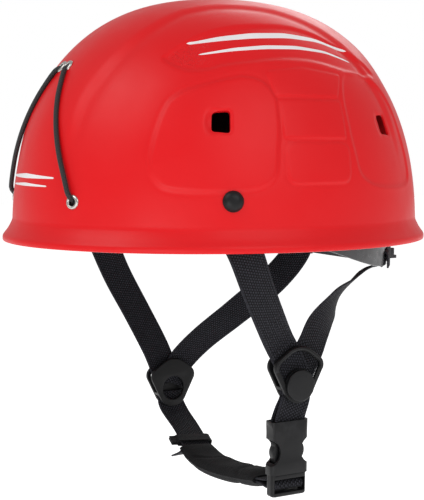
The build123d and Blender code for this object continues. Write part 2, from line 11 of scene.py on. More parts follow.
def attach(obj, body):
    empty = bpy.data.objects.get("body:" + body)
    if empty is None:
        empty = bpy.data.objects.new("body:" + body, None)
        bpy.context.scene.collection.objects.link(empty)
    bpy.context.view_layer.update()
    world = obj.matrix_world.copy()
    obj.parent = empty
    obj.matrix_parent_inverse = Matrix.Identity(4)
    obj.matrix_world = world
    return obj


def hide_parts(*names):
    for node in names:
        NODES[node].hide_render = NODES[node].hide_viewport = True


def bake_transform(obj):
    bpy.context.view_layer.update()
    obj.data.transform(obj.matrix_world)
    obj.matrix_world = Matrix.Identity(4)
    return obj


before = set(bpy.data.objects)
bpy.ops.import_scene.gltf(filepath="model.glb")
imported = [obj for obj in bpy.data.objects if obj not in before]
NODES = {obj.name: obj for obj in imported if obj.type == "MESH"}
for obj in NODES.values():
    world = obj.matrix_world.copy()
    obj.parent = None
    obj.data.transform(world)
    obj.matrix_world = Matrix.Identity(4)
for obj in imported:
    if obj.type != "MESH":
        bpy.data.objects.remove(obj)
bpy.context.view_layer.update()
MM = 0.001


# ---------------------------------------------------------------- materials
class Paint:
    """Builds one procedural material, node by node."""

    def __init__(self, name, color, roughness, **sockets):
        self.mat = bpy.data.materials.new(name)
        self.mat.use_nodes = True
        self.tree = self.mat.node_tree
        self.shader = self.tree.nodes["Principled BSDF"]
        self.shader.inputs["Base Color"].default_value = (*color, 1)
        self.shader.inputs["Roughness"].default_value = roughness
        for key, value in sockets.items():
            self.shader.inputs[key.replace("_", " ")].default_value = value
        self.coords = self.tree.nodes.new("ShaderNodeTexCoord")
        self.color = color
        self.roughness = roughness
        self.height = None

    def node(self, kind, **settings):
        made = self.tree.nodes.new("ShaderNode" + kind)
        for key, value in settings.items():
            setattr(made, key, value)
        return made

    def feed(self, socket, value):
        if isinstance(value, bpy.types.NodeSocket):
            self.tree.links.new(value, socket)
        else:
            socket.default_value = value

    def math(self, operation, a, b=0.0, clamp=False):
        made = self.node("Math", operation=operation, use_clamp=clamp)
        self.feed(made.inputs[0], a)
        self.feed(made.inputs[1], b)
        return made.outputs[0]

    def noise(self, scale, detail=3.0, rough=0.5, coords="Object", distortion=0.0):
        made = self.node("TexNoise")
        self.tree.links.new(self.coords.outputs[coords], made.inputs["Vector"])
        made.inputs["Scale"].default_value = scale
        made.inputs["Detail"].default_value = detail
        made.inputs["Roughness"].default_value = rough
        made.inputs["Distortion"].default_value = distortion
        return made.outputs[0]

    def cells(self, scale, feature="F1"):
        made = self.node("TexVoronoi", feature=feature)
        self.tree.links.new(self.coords.outputs["Object"], made.inputs["Vector"])
        made.inputs["Scale"].default_value = scale
        return made.outputs["Distance"]

    def remap(self, value, low, high, to_low, to_high):
        made = self.node("MapRange")
        self.feed(made.inputs["Value"], value)
        ends = {"From Min": low, "From Max": high, "To Min": to_low, "To Max": to_high}
        for key, number in ends.items():
            made.inputs[key].default_value = number
        return made.outputs[0]

    def mix_color(self, share, low, high):
        made = self.node("Mix", data_type="RGBA")
        self.feed(made.inputs["Factor"], share)
        for key, value in (("A", low), ("B", high)):
            self.feed(made.inputs[key], value if isinstance(value,
                bpy.types.NodeSocket) else (*value, 1))
        return made.outputs["Result"]

    def vary_color(self, share, low, high):
        """Base colour runs from low to high times the named colour."""
        mixed = self.mix_color(share, [c * low for c in self.color], [c * high for c in self.color])
        self.tree.links.new(mixed, self.shader.inputs["Base Color"])
        return mixed

    def vary_roughness(self, share, low, high):
        self.tree.links.new(self.remap(share, 0.3, 0.7, low, high), self.shader.inputs["Roughness"])

    def bump(self, value, distance, strength=1.0):
        made = self.node("Bump")
        made.inputs["Strength"].default_value = strength
        made.inputs["Distance"].default_value = distance
        self.tree.links.new(value, made.inputs["Height"])
        if self.height:
            self.tree.links.new(self.height, made.inputs["Normal"])
        self.height = made.outputs[0]
        self.tree.links.new(self.height, self.shader.inputs["Normal"])

    def edge_wear(self, color, amount):
        """Rubbed, lighter edges where the surface turns sharply."""
        shape = self.node("NewGeometry").outputs["Pointiness"]
        edge = self.remap(shape, 0.52, 0.58, 0.0, amount)
        patches = self.remap(self.noise(180, 4), 0.42, 0.6, 0.0, 1.0)
        broken = self.math("MULTIPLY", edge, patches, True)
        here = self.shader.inputs["Base Color"]
        old = here.links[0].from_socket if here.links else self.color
        self.tree.links.new(self.mix_color(broken, old, color), here)


def shell_paint():
    p = Paint("red_shell", (0.67, 0.005, 0.008), 0.38, Specular_IOR_Level=0.24)
    p.vary_color(p.noise(9, 2), 0.95, 1.05)
    p.vary_roughness(p.noise(60, 4), 0.32, 0.42)
    p.bump(p.noise(1500, 3, 0.6), 0.00003)
    p.bump(p.noise(18, 1), 0.0003)
    grain = p.node("Attribute", attribute_name="grain").outputs["Fac"]
    dots = p.remap(p.cells(900), 0.05, 0.45, 1.0, 0.0)
    p.bump(p.math("MULTIPLY", grain, dots), 0.00035)
    return p.mat


def plastic_paint(name, color, roughness, wear=0.5, **sockets):
    p = Paint(name, color, roughness, **sockets)
    p.vary_color(p.noise(70, 3), 0.92, 1.08)
    p.vary_roughness(p.noise(240, 4), roughness - 0.06, roughness + 0.10)
    p.bump(p.noise(2600, 2, 0.6), 0.00004)
    p.bump(p.noise(45, 2), 0.00012)
    p.edge_wear([min(1, c * 2.2 + 0.012) for c in color], wear)
    return p.mat


def metal_paint():
    p = Paint("nickel", (0.56, 0.54, 0.51), 0.24, Metallic=1.0)
    p.vary_color(p.noise(260, 3), 0.82, 1.1)
    p.vary_roughness(p.noise(500, 4, 0.7), 0.16, 0.38)
    p.bump(p.noise(1800, 3), 0.00003)
    return p.mat


def weave_paint(name, color, rib=1.45, pitch=2.0, fuzz=0.04, light=9.0):
    """Narrow woven webbing, its yarn tops painted lighter as painted highlight and the dips between
    yarns painted darker as painted shade. UVs are in millimetres: across the strap, then along it.
    """
    p = Paint(name, color, 0.62, Sheen_Weight=fuzz, Sheen_Roughness=0.5, Specular_IOR_Level=0.10)
    split = p.node("SeparateXYZ")
    p.tree.links.new(p.coords.outputs["UV"], split.inputs[0])
    across, along = split.outputs[0], split.outputs[1]
    column = p.math("DIVIDE", across, rib)
    phase = p.math("MULTIPLY", p.math("FLOOR", column), 0.5)
    step = p.math("ADD", p.math("DIVIDE", along, pitch), phase)
    bead = p.math("ABSOLUTE", p.math("SINE", p.math("MULTIPLY", step, math.pi)))
    cord = p.math("ABSOLUTE", p.math("SINE", p.math("MULTIPLY", column, math.pi)))
    yarn = p.math("MULTIPLY", p.math("POWER", bead, 1.3), p.math("POWER", cord, 1.1))
    edge = p.remap(p.math("ABSOLUTE", across), 9.1, 9.6, 0.0, 1.0)
    selvedge = p.math("ABSOLUTE", p.math("SINE", p.math("MULTIPLY", along, math.pi / 0.8)))
    height = p.math("ADD", p.math("MULTIPLY", yarn, p.math("SUBTRACT", 1.0, edge)),
                    p.math("MULTIPLY", selvedge, edge))
    # Painted light and shade: yarn tops up to `light` times brighter as painted highlight, dips
    # between yarns darker as painted shade; the noise adds random tone.
    yarn_shading_and_tone = p.math("MULTIPLY", height, p.remap(p.noise(420, 3), 0.3, 0.7, 0.7, 1.15))
    p.vary_color(yarn_shading_and_tone, 0.25, light)
    p.bump(height, 0.0005, 1.0)
    p.bump(p.noise(900, 3), 0.00008)
    return p.mat


def knit_paint(name, color):
    """Brushed knit over foam."""
    p = Paint(name, color, 0.85, Sheen_Weight=0.04, Sheen_Roughness=0.5, Specular_IOR_Level=0.10)
    p.vary_color(p.noise(55, 4), 0.75, 1.35)
    p.bump(p.cells(1500), 0.00022, 0.9)
    p.bump(p.noise(130, 3), 0.0004)
    return p.mat


def braid_paint():
    """Braided sleeve of the elastic cord, its strand crests painted lighter as painted highlight
    and the gaps between strands painted darker as painted shade. UVs are turns round it, then
    millimetres along it.
    """
    p = Paint("cord_braid", (0.0065, 0.0065, 0.0075), 0.6, Sheen_Weight=0.10, Sheen_Roughness=0.4)
    split = p.node("SeparateXYZ")
    p.tree.links.new(p.coords.outputs["UV"], split.inputs[0])
    turn, along = split.outputs[0], split.outputs[1]
    strands = []
    for sense in (1.0, -1.0):
        slope = p.math("MULTIPLY", turn, 4.0 * sense)
        strand = p.math("ADD", p.math("DIVIDE", along, 2.0), slope)
        strands.append(p.math("ABSOLUTE", p.math("SINE", p.math("MULTIPLY", strand, math.pi))))
    both = p.math("MULTIPLY", strands[0], strands[1])
    # Painted light and shade: colour follows strand height, lighter on the crests, darker in the
    # gaps.
    p.vary_color(both, 0.5, 2.6)
    p.bump(both, 0.0002)
    return p.mat


RED = shell_paint()
NICKEL = metal_paint()
BLACK = plastic_paint("black_nylon", (0.0045, 0.0045, 0.0050), 0.42, Specular_IOR_Level=0.22)
SATIN = plastic_paint("black_satin", (0.0050, 0.0050, 0.0058), 0.36, 0.35, Specular_IOR_Level=0.26)
SMOKE = plastic_paint("smoke_nylon", (0.018, 0.018, 0.021), 0.36, 0.2, Transmission_Weight=0.10)
CLEAR = plastic_paint("smoke_band", (0.036, 0.037, 0.041), 0.30, 0.0, Transmission_Weight=0.30)
WEBBING = weave_paint("webbing", (0.0040, 0.0040, 0.0052))
ELASTIC = weave_paint("elastic", (0.0055, 0.0055, 0.0062), 0.8, 1.1)
FABRIC = knit_paint("pad_fabric", (0.0050, 0.0050, 0.0058))
# Dark knit of the liner dome, which also stands in for the shade seen through the vents.
MESH = knit_paint("shade_liner_knit", (0.0045, 0.0045, 0.0050))
BRAID = braid_paint()
PRINT = plastic_paint("white_print", (0.80, 0.76, 0.77), 0.38, 0.0)
THREAD = plastic_paint("stitch_thread", (0.045, 0.045, 0.052), 0.55, 0.0, Specular_IOR_Level=0.2)


# ---------------------------------------------------------------- mesh helpers
def put(name, verts, faces, mat, body, node=None, uvs=None, smooth=True):
    """Make a piece from plain lists. uvs holds one pair for each face corner."""
    mesh = bpy.data.meshes.new(name)
    mesh.from_pydata([tuple(v) for v in verts], [], [tuple(f) for f in faces])
    if uvs is not None:
        layer = mesh.uv_layers.new(name="UVMap")
        layer.data.foreach_set("uv", np.asarray(uvs, np.float32).ravel())
    mesh.validate()
    obj = bpy.data.objects.new(name, mesh)
    return place(obj, mat, body, node, smooth)


def place(obj, mat, body, node=None, smooth=True):
    if obj.name not in bpy.context.scene.collection.objects:
        bpy.context.scene.collection.objects.link(obj)
    obj.data.materials.clear()
    obj.data.materials.append(mat)
    if smooth and obj.type == "MESH":
        obj.data.shade_smooth()
    if body:
        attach(obj, body)
    if node:
        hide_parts(*([node] if isinstance(node, str) else node))
    return obj


def settle(obj):
    """Apply every modifier."""
    bpy.context.view_layer.update()
    result = evaluated_mesh(obj)
    obj.modifiers.clear()
    obj.data = result


def evaluated_mesh(obj):
    graph = bpy.context.evaluated_depsgraph_get()
    return bpy.data.meshes.new_from_object(obj.evaluated_get(graph))


def link(name, data):
    obj = bpy.data.objects.new(name, data)
    bpy.context.scene.collection.objects.link(obj)
    return obj


def soften(node, mat, body, width):
    """A moulded piece: the CAD node's shape with its edges rounded off."""
    mesh = NODES[node].data.copy()
    obj = link(node + "_part", mesh)
    work = bmesh.new()
    work.from_mesh(mesh)
    bmesh.ops.remove_doubles(work, verts=work.verts, dist=0.004 * MM)
    bmesh.ops.dissolve_limit(work, angle_limit=math.radians(4), verts=work.verts, edges=work.edges)
    work.to_mesh(mesh)
    work.free()
    bevel = obj.modifiers.new("bevel", "BEVEL")
    bevel.width = width
    bevel.segments = 3
    bevel.limit_method = "ANGLE"
    bevel.angle_limit = math.radians(32)
    bevel.harden_normals = False
    settle(obj)
    obj.data.set_sharp_from_angle(angle=math.radians(50))
    return place(obj, mat, body, node)


def grid_faces(rows, columns, first=0):
    """Faces between rings of points, each ring closed on itself."""
    faces = []
    for i in range(rows - 1):
        for j in range(columns):
            k = (j + 1) % columns
            faces.append((first + i * columns + j, first + i * columns + k,
                          first + (i + 1) * columns + k, first + (i + 1) * columns + j))
    return faces


def end_faces(rows, columns, first=0):
    """Caps over the first and the last ring of a grid."""
    last = first + (rows - 1) * columns
    return [tuple(range(first, first + columns))[::-1], tuple(range(last, last + columns))]


def square_to(axis):
    """Unit axis and two directions square to it."""
    up = Vector(axis).normalized()
    side = up.orthogonal().normalized()
    return up, side, up.cross(side)


def unit_rows(vectors):
    return vectors / np.linalg.norm(vectors, axis=1)[:, None]


def run_lengths(points):
    """Length along a line of points, from its start to each point."""
    return np.concatenate([[0], np.cumsum(np.linalg.norm(np.diff(points, axis=0), axis=1))])


def spun(name, outline, centre, axis, mat, body, node, turns=48):
    """A turned piece: outline is (radius, height along axis) in millimetres."""
    up, side, other = square_to(axis)
    verts = []
    for r, h in [(r * MM, h * MM) for r, h in outline]:
        for k in range(turns):
            a = 2 * math.pi * k / turns
            verts.append(Vector(centre) + up * h + (side * math.cos(a) + other * math.sin(a)) * r)
    faces = grid_faces(len(outline), turns)
    if outline[0] != outline[-1]:
        faces += end_faces(len(outline), turns)
    tidy_normals(put(name, verts, faces, mat, body, node))


def tidy_normals(obj):
    work = bmesh.new()
    work.from_mesh(obj.data)
    bmesh.ops.remove_doubles(work, verts=work.verts, dist=0.001 * MM)
    bmesh.ops.recalc_face_normals(work, faces=work.faces)
    work.to_mesh(obj.data)
    work.free()
    obj.data.shade_smooth()
    obj.data.set_sharp_from_angle(angle=math.radians(48))


def through(a, b, c, d, t):
    """The smooth curve from b (t is 0) to c (t is 1), with neighbours a and d."""
    return 0.5 * (2 * b + (c - a) * t + (2 * a - 5 * b + 4 * c - d) * t * t
                  + (3 * b - a - 3 * c + d) * t ** 3)


def catmull(stations, steps):
    """Dense points through stations of (centre, width direction), each a 6-vector row."""
    rows = np.array([[*c, *a] for c, a in stations], float)
    ends = np.vstack([rows[:1], rows, rows[-1:]])
    dense = []
    for i in range(1, len(ends) - 2):
        a, b, c, d = ends[i - 1:i + 3]
        for k in range(steps):
            dense.append(through(a, b, c, d, k / steps))
    dense.append(ends[-1])
    return np.array(dense)


def strap_rings(stations, steps):
    """Centres, across and face directions along a strap. Stations are in millimetres."""
    line = catmull(stations, steps)
    centre, across = line[:, :3] * MM, line[:, 3:]
    tangent = unit_rows(np.gradient(centre, axis=0))
    across = unit_rows(across - tangent * (across * tangent).sum(1)[:, None])
    return centre, across, np.cross(tangent, across), tangent, run_lengths(centre)


def strap_section(width, thick):
    """Cross-section of woven tape: rounded selvedges a little thicker than the middle."""
    half, t = width / 2, thick / 2
    right = [0.3, 0.6, 0.84, 0.90, 0.95, 0.985]
    top = []
    for share in [-edge for edge in reversed(right)] + [0.0] + right:
        edge = abs(share)
        height = t * (0.86 if edge < 0.85 else 1.0)
        if edge > 0.94:
            height = t * math.sqrt(max(0.0, 1 - ((edge - 0.94) / 0.06) ** 2))
        top.append((share * half, height))
    return top, half


def strap(name, stations, width, thick, mat, body, node, steps=8):
    """Webbing as a closed solid with woven UVs in millimetres."""
    centre, across, face, _, length = strap_rings(stations, steps)
    top, half = strap_section(width * MM, thick * MM)
    ring = [(-half, 0.0)] + top + [(half, 0.0)] + [(a, -h) for a, h in reversed(top)]
    count = len(ring)
    verts = []
    for i in range(len(centre)):
        for a, h in ring:
            verts.append(centre[i] + across[i] * a + face[i] * h)
    faces = grid_faces(len(centre), count)
    uvs = []
    around = [a / MM for a, _ in ring]
    for i in range(len(centre) - 1):
        for j in range(count):
            k = (j + 1) % count
            for row, column in ((i, j), (i, k), (i + 1, k), (i + 1, j)):
                uvs.append((around[column], length[row] / MM))
    faces += end_faces(len(centre), count)
    uvs += [(a, 0.0) for a in reversed(around)]
    uvs += [(a, length[-1] / MM) for a in around]
    obj = put(name, verts, faces, mat, body, node, uvs)
    obj["flat_length"] = float(length[-1])
    return obj


# ---------------------------------------------------------------- camera, light and floor
CAMERA_AT = Vector((0.6893, -0.4060, 0.0653))
HEADING, PITCH, ROLL = 59.81, 5.3, 0.47     # degrees
LENS = 87.15
FLOOR_Z = -0.34
FLOOR_HALF = 6


def make_camera():
    """Near side view from the front left, a little above the rim."""
    heading, pitch, roll = math.radians(HEADING), math.radians(PITCH), math.radians(ROLL)
    level = math.cos(pitch)
    back = Vector((math.sin(heading) * level, -math.cos(heading) * level, math.sin(pitch)))
    right = Vector((math.cos(heading), math.sin(heading), 0))
    up = back.cross(right)
    rolled = right * math.cos(roll) + up * math.sin(roll)
    upright = up * math.cos(roll) - right * math.sin(roll)
    data = bpy.data.cameras.new("camera")
    data.lens = LENS
    data.sensor_width = 36.0
    data.clip_start = 0.02
    camera = link("camera", data)
    rows = zip(rolled, upright, back, CAMERA_AT)
    camera.matrix_world = Matrix((*rows, (0, 0, 0, 1)))
    bpy.context.scene.camera = camera


def add_light(name, position, target, size, watts):
    data = bpy.data.lights.new(name, "AREA")
    data.shape = "RECTANGLE"
    data.size, data.size_y = size
    data.energy = watts
    lamp = link(name, data)
    lamp.location = position
    lamp.rotation_euler = (Vector(target) - Vector(position)).to_track_quat("-Z", "Y").to_euler()


def make_studio():
    scene = bpy.context.scene
    scene.view_settings.view_transform = "Standard"
    world = bpy.data.worlds.new("studio")
    scene.world = world
    world.use_nodes = True
    tree = world.node_tree
    sky = tree.nodes["Background"]
    sky.inputs["Strength"].default_value = 0.50
    sky.inputs["Color"].default_value = (1, 1, 1, 1)
    seen = tree.nodes.new("ShaderNodeBackground")
    seen.inputs["Color"].default_value = (1, 1, 1, 1)
    seen.inputs["Strength"].default_value = 1.0
    path = tree.nodes.new("ShaderNodeLightPath")
    mix = tree.nodes.new("ShaderNodeMixShader")
    tree.links.new(path.outputs["Is Camera Ray"], mix.inputs[0])
    tree.links.new(sky.outputs[0], mix.inputs[1])
    tree.links.new(seen.outputs[0], mix.inputs[2])
    tree.links.new(mix.outputs[0], tree.nodes["World Output"].inputs["Surface"])
    add_light("key", (0.15, -0.95, 1.05), (0, 0, 0.05), (0.9, 0.7), 5.2)
    add_light("side", (1.25, 0.15, 0.75), (0, 0, 0.0), (0.9, 0.9), 3.6)
    add_light("back", (-0.7, 0.9, 0.9), (0, 0, 0.03), (0.8, 0.8), 4.5)
    add_light("low", (0.75, -0.7, -0.12), (0.03, 0, -0.08), (0.5, 0.35), 1.2)
    mesh = bpy.data.meshes.new("floor")
    corners = [(x * FLOOR_HALF, y * FLOOR_HALF, FLOOR_Z) for x, y in ((-1, -1), (1, -1), (1, 1),
        (-1, 1))]
    mesh.from_pydata(corners, [], [(0, 1, 2, 3)])
    floor = link("floor", mesh)
    paint = bpy.data.materials.new("pale_floor")
    paint.use_nodes = True
    shader = paint.node_tree.nodes["Principled BSDF"]
    shader.inputs["Base Color"].default_value = (0.93, 0.93, 0.93, 1)
    shader.inputs["Roughness"].default_value = 0.9
    shader.inputs["Emission Color"].default_value = (1, 1, 1, 1)
    shader.inputs["Emission Strength"].default_value = 0.60
    mesh.materials.append(paint)


make_camera()
make_studio()


# ---------------------------------------------------------------- shell surface
HALF_WIDTH, HALF_LENGTH, HEIGHT, WALL = 113.0, 138.0, 152.5, 2.6
SIDE_POWER, TOP_POWER = 2.3, 2.48
STRETCH = HALF_LENGTH / HALF_WIDTH
RIVET = (-22.2, 29.4)
FRONT_VENT = (-25.35, 74.3)
REAR_VENT = (32.15, 74.6)
LOW_EYELET = (-65.9, 27.6)
TOP_EYELET = (-87.1, 107.0)
VENT_HALF = 5.4
DEGREE = 2.15             # millimetres round the shell for each degree of angle


def profile(z):
    return (1 - (np.clip(z, 0, HEIGHT) / HEIGHT) ** SIDE_POWER) ** (1 / TOP_POWER)


_heights = HEIGHT * np.sin(np.linspace(0, math.pi / 2, 600)) ** (2 / SIDE_POWER)
_heights[-1] = HEIGHT
_arc = run_lengths(np.stack([_heights, HALF_WIDTH * profile(_heights)], -1))


def arc_of(z):
    """Length along the wall from the rim up to a height."""
    return np.interp(z, _heights, _arc)


def flat_map(angle, z):
    """A spot on the side wall in flat millimetres: round the shell, then up it."""
    return np.stack([np.asarray(angle, float) * DEGREE, arc_of(np.asarray(z, float))], -1)


def rounded(corners, steps=5):
    """Closed smooth outline through corners."""
    pts = np.array(corners, float)
    out = []
    for i in range(len(pts)):
        a, b, c, d = pts[i - 1], pts[i], pts[(i + 1) % len(pts)], pts[(i + 2) % len(pts)]
        for k in range(steps):
            out.append(through(a, b, c, d, k / steps))
    return np.array(out)


def filleted(corners, radius, steps=4):
    """Closed outline with straight sides and small round corners, in flat millimetres."""
    pts = np.array(corners, float)
    out = []
    for i in range(len(pts)):
        a, b, c = pts[i - 1], pts[i], pts[(i + 1) % len(pts)]
        r = min(radius, 0.45 * np.linalg.norm(a - b), 0.45 * np.linalg.norm(c - b))
        start = b + (a - b) / np.linalg.norm(a - b) * r
        stop = b + (c - b) / np.linalg.norm(c - b) * r
        for k in range(steps + 1):
            t = k / steps
            out.append((1 - t) ** 2 * start + 2 * t * (1 - t) * b + t * t * stop)
    return np.array(out)


def inside_distance(points, outline):
    """Distance to an outline, positive inside it."""
    nearest = np.full(len(points), np.inf)
    inside = np.zeros(len(points), bool)
    for p, q in zip(outline, np.roll(outline, -1, 0)):
        e, w = q - p, points - p
        t = np.clip((w @ e) / max(e @ e, 1e-12), 0, 1)
        nearest = np.minimum(nearest, np.hypot(w[:, 0] - t * e[0], w[:, 1] - t * e[1]))
        crossing = (p[1] > points[:, 1]) != (q[1] > points[:, 1])
        at = p[0] + (points[:, 1] - p[1]) * e[0] / (e[1] if abs(e[1]) > 1e-12 else 1e-12)
        inside ^= crossing & (points[:, 0] < at)
    return np.where(inside, nearest, -nearest)


def ramp(x, low, high):
    t = np.clip((x - low) / (high - low), 0, 1)
    return t * t * (3 - 2 * t)


def spots(pairs):
    return flat_map([a for a, _ in pairs], [z for _, z in pairs])


FRONT_PANEL = rounded(spots([
    (-43.5, 48), (-41.9, 41.5), (-39, 37), (-33, 35.5), (-26.7, 35.3), (-19, 36), (-14.8, 37.7),
    (-12.2, 41.7),
    (-11, 47.4), (-10.4, 58.7), (-9.7, 70), (-9.5, 80.6), (-9.8, 89), (-12.9, 97.3), (-18, 100),
    (-23.3, 98.6),
    (-30, 95), (-35.8, 91.4), (-39.3, 86.7), (-40.9, 81), (-42.3, 70.7), (-43.3, 58)]))
REAR_PANEL = rounded(spots([
    (18, 101), (14.8, 88.7), (14, 70.7), (14.5, 58.8), (15.4, 46.9), (17.9, 40.8), (23.5, 36.9),
    (35.4, 36.1),
    (42.5, 39), (44.5, 46), (44.3, 58), (43, 71), (41.6, 84), (37.6, 97), (30, 104.6), (23, 105)]))
TOP_CELL = filleted(spots([(-9.2, 90), (12.0, 90), (16.6, 103.5), (2, 107), (-11, 104)]), 1.5)
MIDDLE_CELL = filleted(spots([(-8.2, 65.6), (11.5, 65.6), (12.6, 87.6), (-8.6, 87.6)]), 0.8)
LOW_CELL = filleted(spots([(-7.6, 39.2), (11.4, 39.6), (12.2, 62.8), (-7.7, 62.8)]), 6.0)
SWOOSH = rounded(spots([
    (-44.6, 111), (-42.3, 115), (-33.4, 125), (-21.6, 130.5), (-8, 132.6), (7.1, 132.5), (20.6,
    127.3),
    (30.1, 118.8), (37.2, 111.3), (38.7, 105.2), (31.9, 104.6), (19.9, 107.9), (8, 111.8), (-3.5,
    112.3),
    (-14.1, 110.3), (-23.5, 107.7), (-31.3, 104.3), (-38.3, 105.4)]))
CROWN_EDGE = np.array([(36.7, -150), (36.7, -119), (36, -114), (36.4, -109.5), (38, -104), (39,
    -96.5), (39.7, -85),
                       (40, -69), (38.7, -49), (41, -30), (45, -12.5), (50, 6), (57, 24), (64.4,
                       42), (69.4, 54),
                       (75.8, 65), (80, 74), (84, 81), (92, 90)])


def vent_outline(spot):
    """A vent's outline, lower at its front end."""
    u, v = flat_map(*spot)
    corners = [(-VENT_HALF, -5.8), (VENT_HALF, -6.9), (VENT_HALF, 6.9), (-VENT_HALF, 6.0)]
    return filleted([(u + a, v + b) for a, b in corners], 2.6)


VENTS = [vent_outline(FRONT_VENT), vent_outline(REAR_VENT)]


def relief(angle, z):
    """Height of the moulded relief over the plain dome, for arrays of angle and height."""
    turn = np.where(np.cos(np.radians(angle)) < 0, 180 - angle, angle)
    turn = (turn + 180) % 360 - 180
    flat = flat_map(turn, z)
    out = np.zeros(len(flat))
    near = (np.abs(turn) < 60) & (z > 25) & (z < 138)
    pts = flat[near]
    lift = np.zeros(len(pts))
    d = inside_distance(pts, FRONT_PANEL)
    lift += 0.85 * ramp(d, -2.0, 1.4) - 0.12 * np.exp(-((d + 2.4) / 1.3) ** 2)
    d = inside_distance(pts, REAR_PANEL)
    lift -= 0.85 * ramp(d, -1.4, 2.0)
    lift += 0.15 * np.exp(-((d + 1.6) / 1.2) ** 2)
    for cell, rise in ((TOP_CELL, 0.70), (MIDDLE_CELL, 0.70), (LOW_CELL, 0.65)):
        d = inside_distance(pts, cell)
        low, high = cell[:, 1].min(), cell[:, 1].max()
        share = np.clip((high - pts[:, 1]) / (high - low), 0, 1)
        lift += rise * (0.35 + 0.65 * share) * ramp(d, -0.9, 0.7)
        lift -= 0.12 * np.exp(-((d + 1.2) / 0.8) ** 2)
    d = inside_distance(pts, SWOOSH)
    lift -= 1.1 * ramp(d, -2.2, 2.4)
    for vent in VENTS:
        d = -inside_distance(pts, vent)
        lift -= 0.7 * (1 - ramp(d, 0.0, 1.7)) ** 2
        middle = vent.mean(0)
        u, v = (pts - middle).T
        scoop = ((u + VENT_HALF) / 3.6) ** 2 + (v / 6.4) ** 2
        lift -= 1.7 * np.exp(-scoop ** 2) * (pts[:, 0] < middle[0])
    out[near] = lift
    x = HALF_WIDTH * profile(z) * np.abs(np.cos(np.radians(angle)))
    y = HALF_LENGTH * profile(z) * np.sin(np.radians(angle))
    band = np.interp(y, CROWN_EDGE[:, 1], CROWN_EDGE[:, 0]) - x
    fade = ramp(z, 45, 80)
    groove = 0.25 * np.exp(-((band + 4.0) / 2.8) ** 2)
    out += fade * (1.15 * ramp(band, -3.5, 3.5) - groove) * (y < 95)
    out -= fade * 1.15 * ramp(y, 75, 95) * (y < 95) * ramp(band, -3.5, 3.5)
    return np.where(out < -1.0, -1.0 - 0.7 * np.tanh((-1.0 - out) / 0.7), out)


def surface(angle, z, lift=0.0, with_relief=True):
    """Points on the shell in metres, with outward normals, for arrays of angle and height."""
    angle, z = np.broadcast_arrays(np.asarray(angle, float), np.asarray(z, float))
    angle, z = angle.ravel(), z.ravel()
    c, s = np.cos(np.radians(angle)), np.sin(np.radians(angle))
    size = profile(z)
    slope = -(profile(z + 0.1) - profile(z - 0.1)) / 0.2
    slope = np.where(z > HEIGHT - 0.3, 1e3, slope)
    normal = unit_rows(np.stack([c / HALF_WIDTH, s / HALF_LENGTH, slope], -1))
    point = np.stack([HALF_WIDTH * size * c, HALF_LENGTH * size * s, z], -1)
    height = lift + (relief(angle, z) if with_relief else 0.0)
    return (point + normal * np.reshape(height, (-1, 1))) * MM, normal


LIP = [(115.2, 1.2), (115.5, 0.45), (116.1, 0.05), (117.0, 0.0), (117.7, 0.25), (118.0, 0.9),
    (118.0, 1.9),
       (117.96, 2.9), (117.75, 3.7), (117.3, 4.5), (116.5, 5.7), (115.6, 7.1), (114.7, 8.8),
       (113.9, 10.6),
       (113.35, 11.9), (113.1, 12.6)]


def shell_angles():
    """Columns, close together on the sides where the relief is."""
    spans = ((-90, -50, 1.25), (-50, 47, 0.42), (47, 90, 1.25))
    half = np.concatenate([np.arange(*span) for span in spans])
    return np.concatenate([half, 180 - half[::-1]])


def make_shell():
    angles = shell_angles()
    c, s = np.cos(np.radians(angles)), np.sin(np.radians(angles))
    n = len(angles)
    rows = []
    top = HEIGHT - WALL
    inner_heights = top * np.sin(np.linspace(math.pi / 2 - 0.012, 0.16, 46)) ** (2 / SIDE_POWER)
    for z in inner_heights:
        size = (1 - (z / top) ** SIDE_POWER) ** (1 / TOP_POWER)
        x, y = (HALF_WIDTH - WALL) * size * c, (HALF_LENGTH - WALL) * size * s
        rows.append(np.stack([x, y, 0 * c + z], -1) * MM)
    for r, z in [(110.3, 12.0), (110.8, 10.0), (112.0, 7.4), (113.4, 5.0), (114.6, 3.0)] + LIP:
        rows.append(np.stack([r * c, r * STRETCH * s, 0 * c + z], -1) * MM)
    arcs = np.arange(float(arc_of(14.0)), _arc[-1] - 1.2, 0.92)
    outer = np.interp(arcs, _arc, _heights)
    aa, zz = np.meshgrid(angles, outer)
    points, _ = surface(aa, zz)
    rows += list(points.reshape(len(outer), n, 3))
    verts = np.concatenate(rows)
    faces = grid_faces(len(rows), n)
    crown_lift = float(relief(np.array([0.0]), np.array([HEIGHT - 0.5]))[0])
    verts = np.vstack([verts, [(0, 0, top * MM), (0, 0, (HEIGHT + crown_lift) * MM)]])
    low, high = len(verts) - 2, len(verts) - 1
    base = (len(rows) - 1) * n
    for j in range(n):
        k = (j + 1) % n
        faces.append((low, k, j))
        faces.append((high, base + j, base + k))
    obj = put("hard_shell", verts, faces, RED, None)
    cut = cutters()
    change = obj.modifiers.new("holes", "BOOLEAN")
    change.operation = "DIFFERENCE"
    change.solver = "EXACT"
    change.object = cut
    settle(obj)
    bpy.data.objects.remove(cut)
    obj.data.shade_smooth()
    obj.data.set_sharp_from_angle(angle=math.radians(40))
    place(obj, RED, "root", "shell", smooth=False)
    mark_grain(obj)


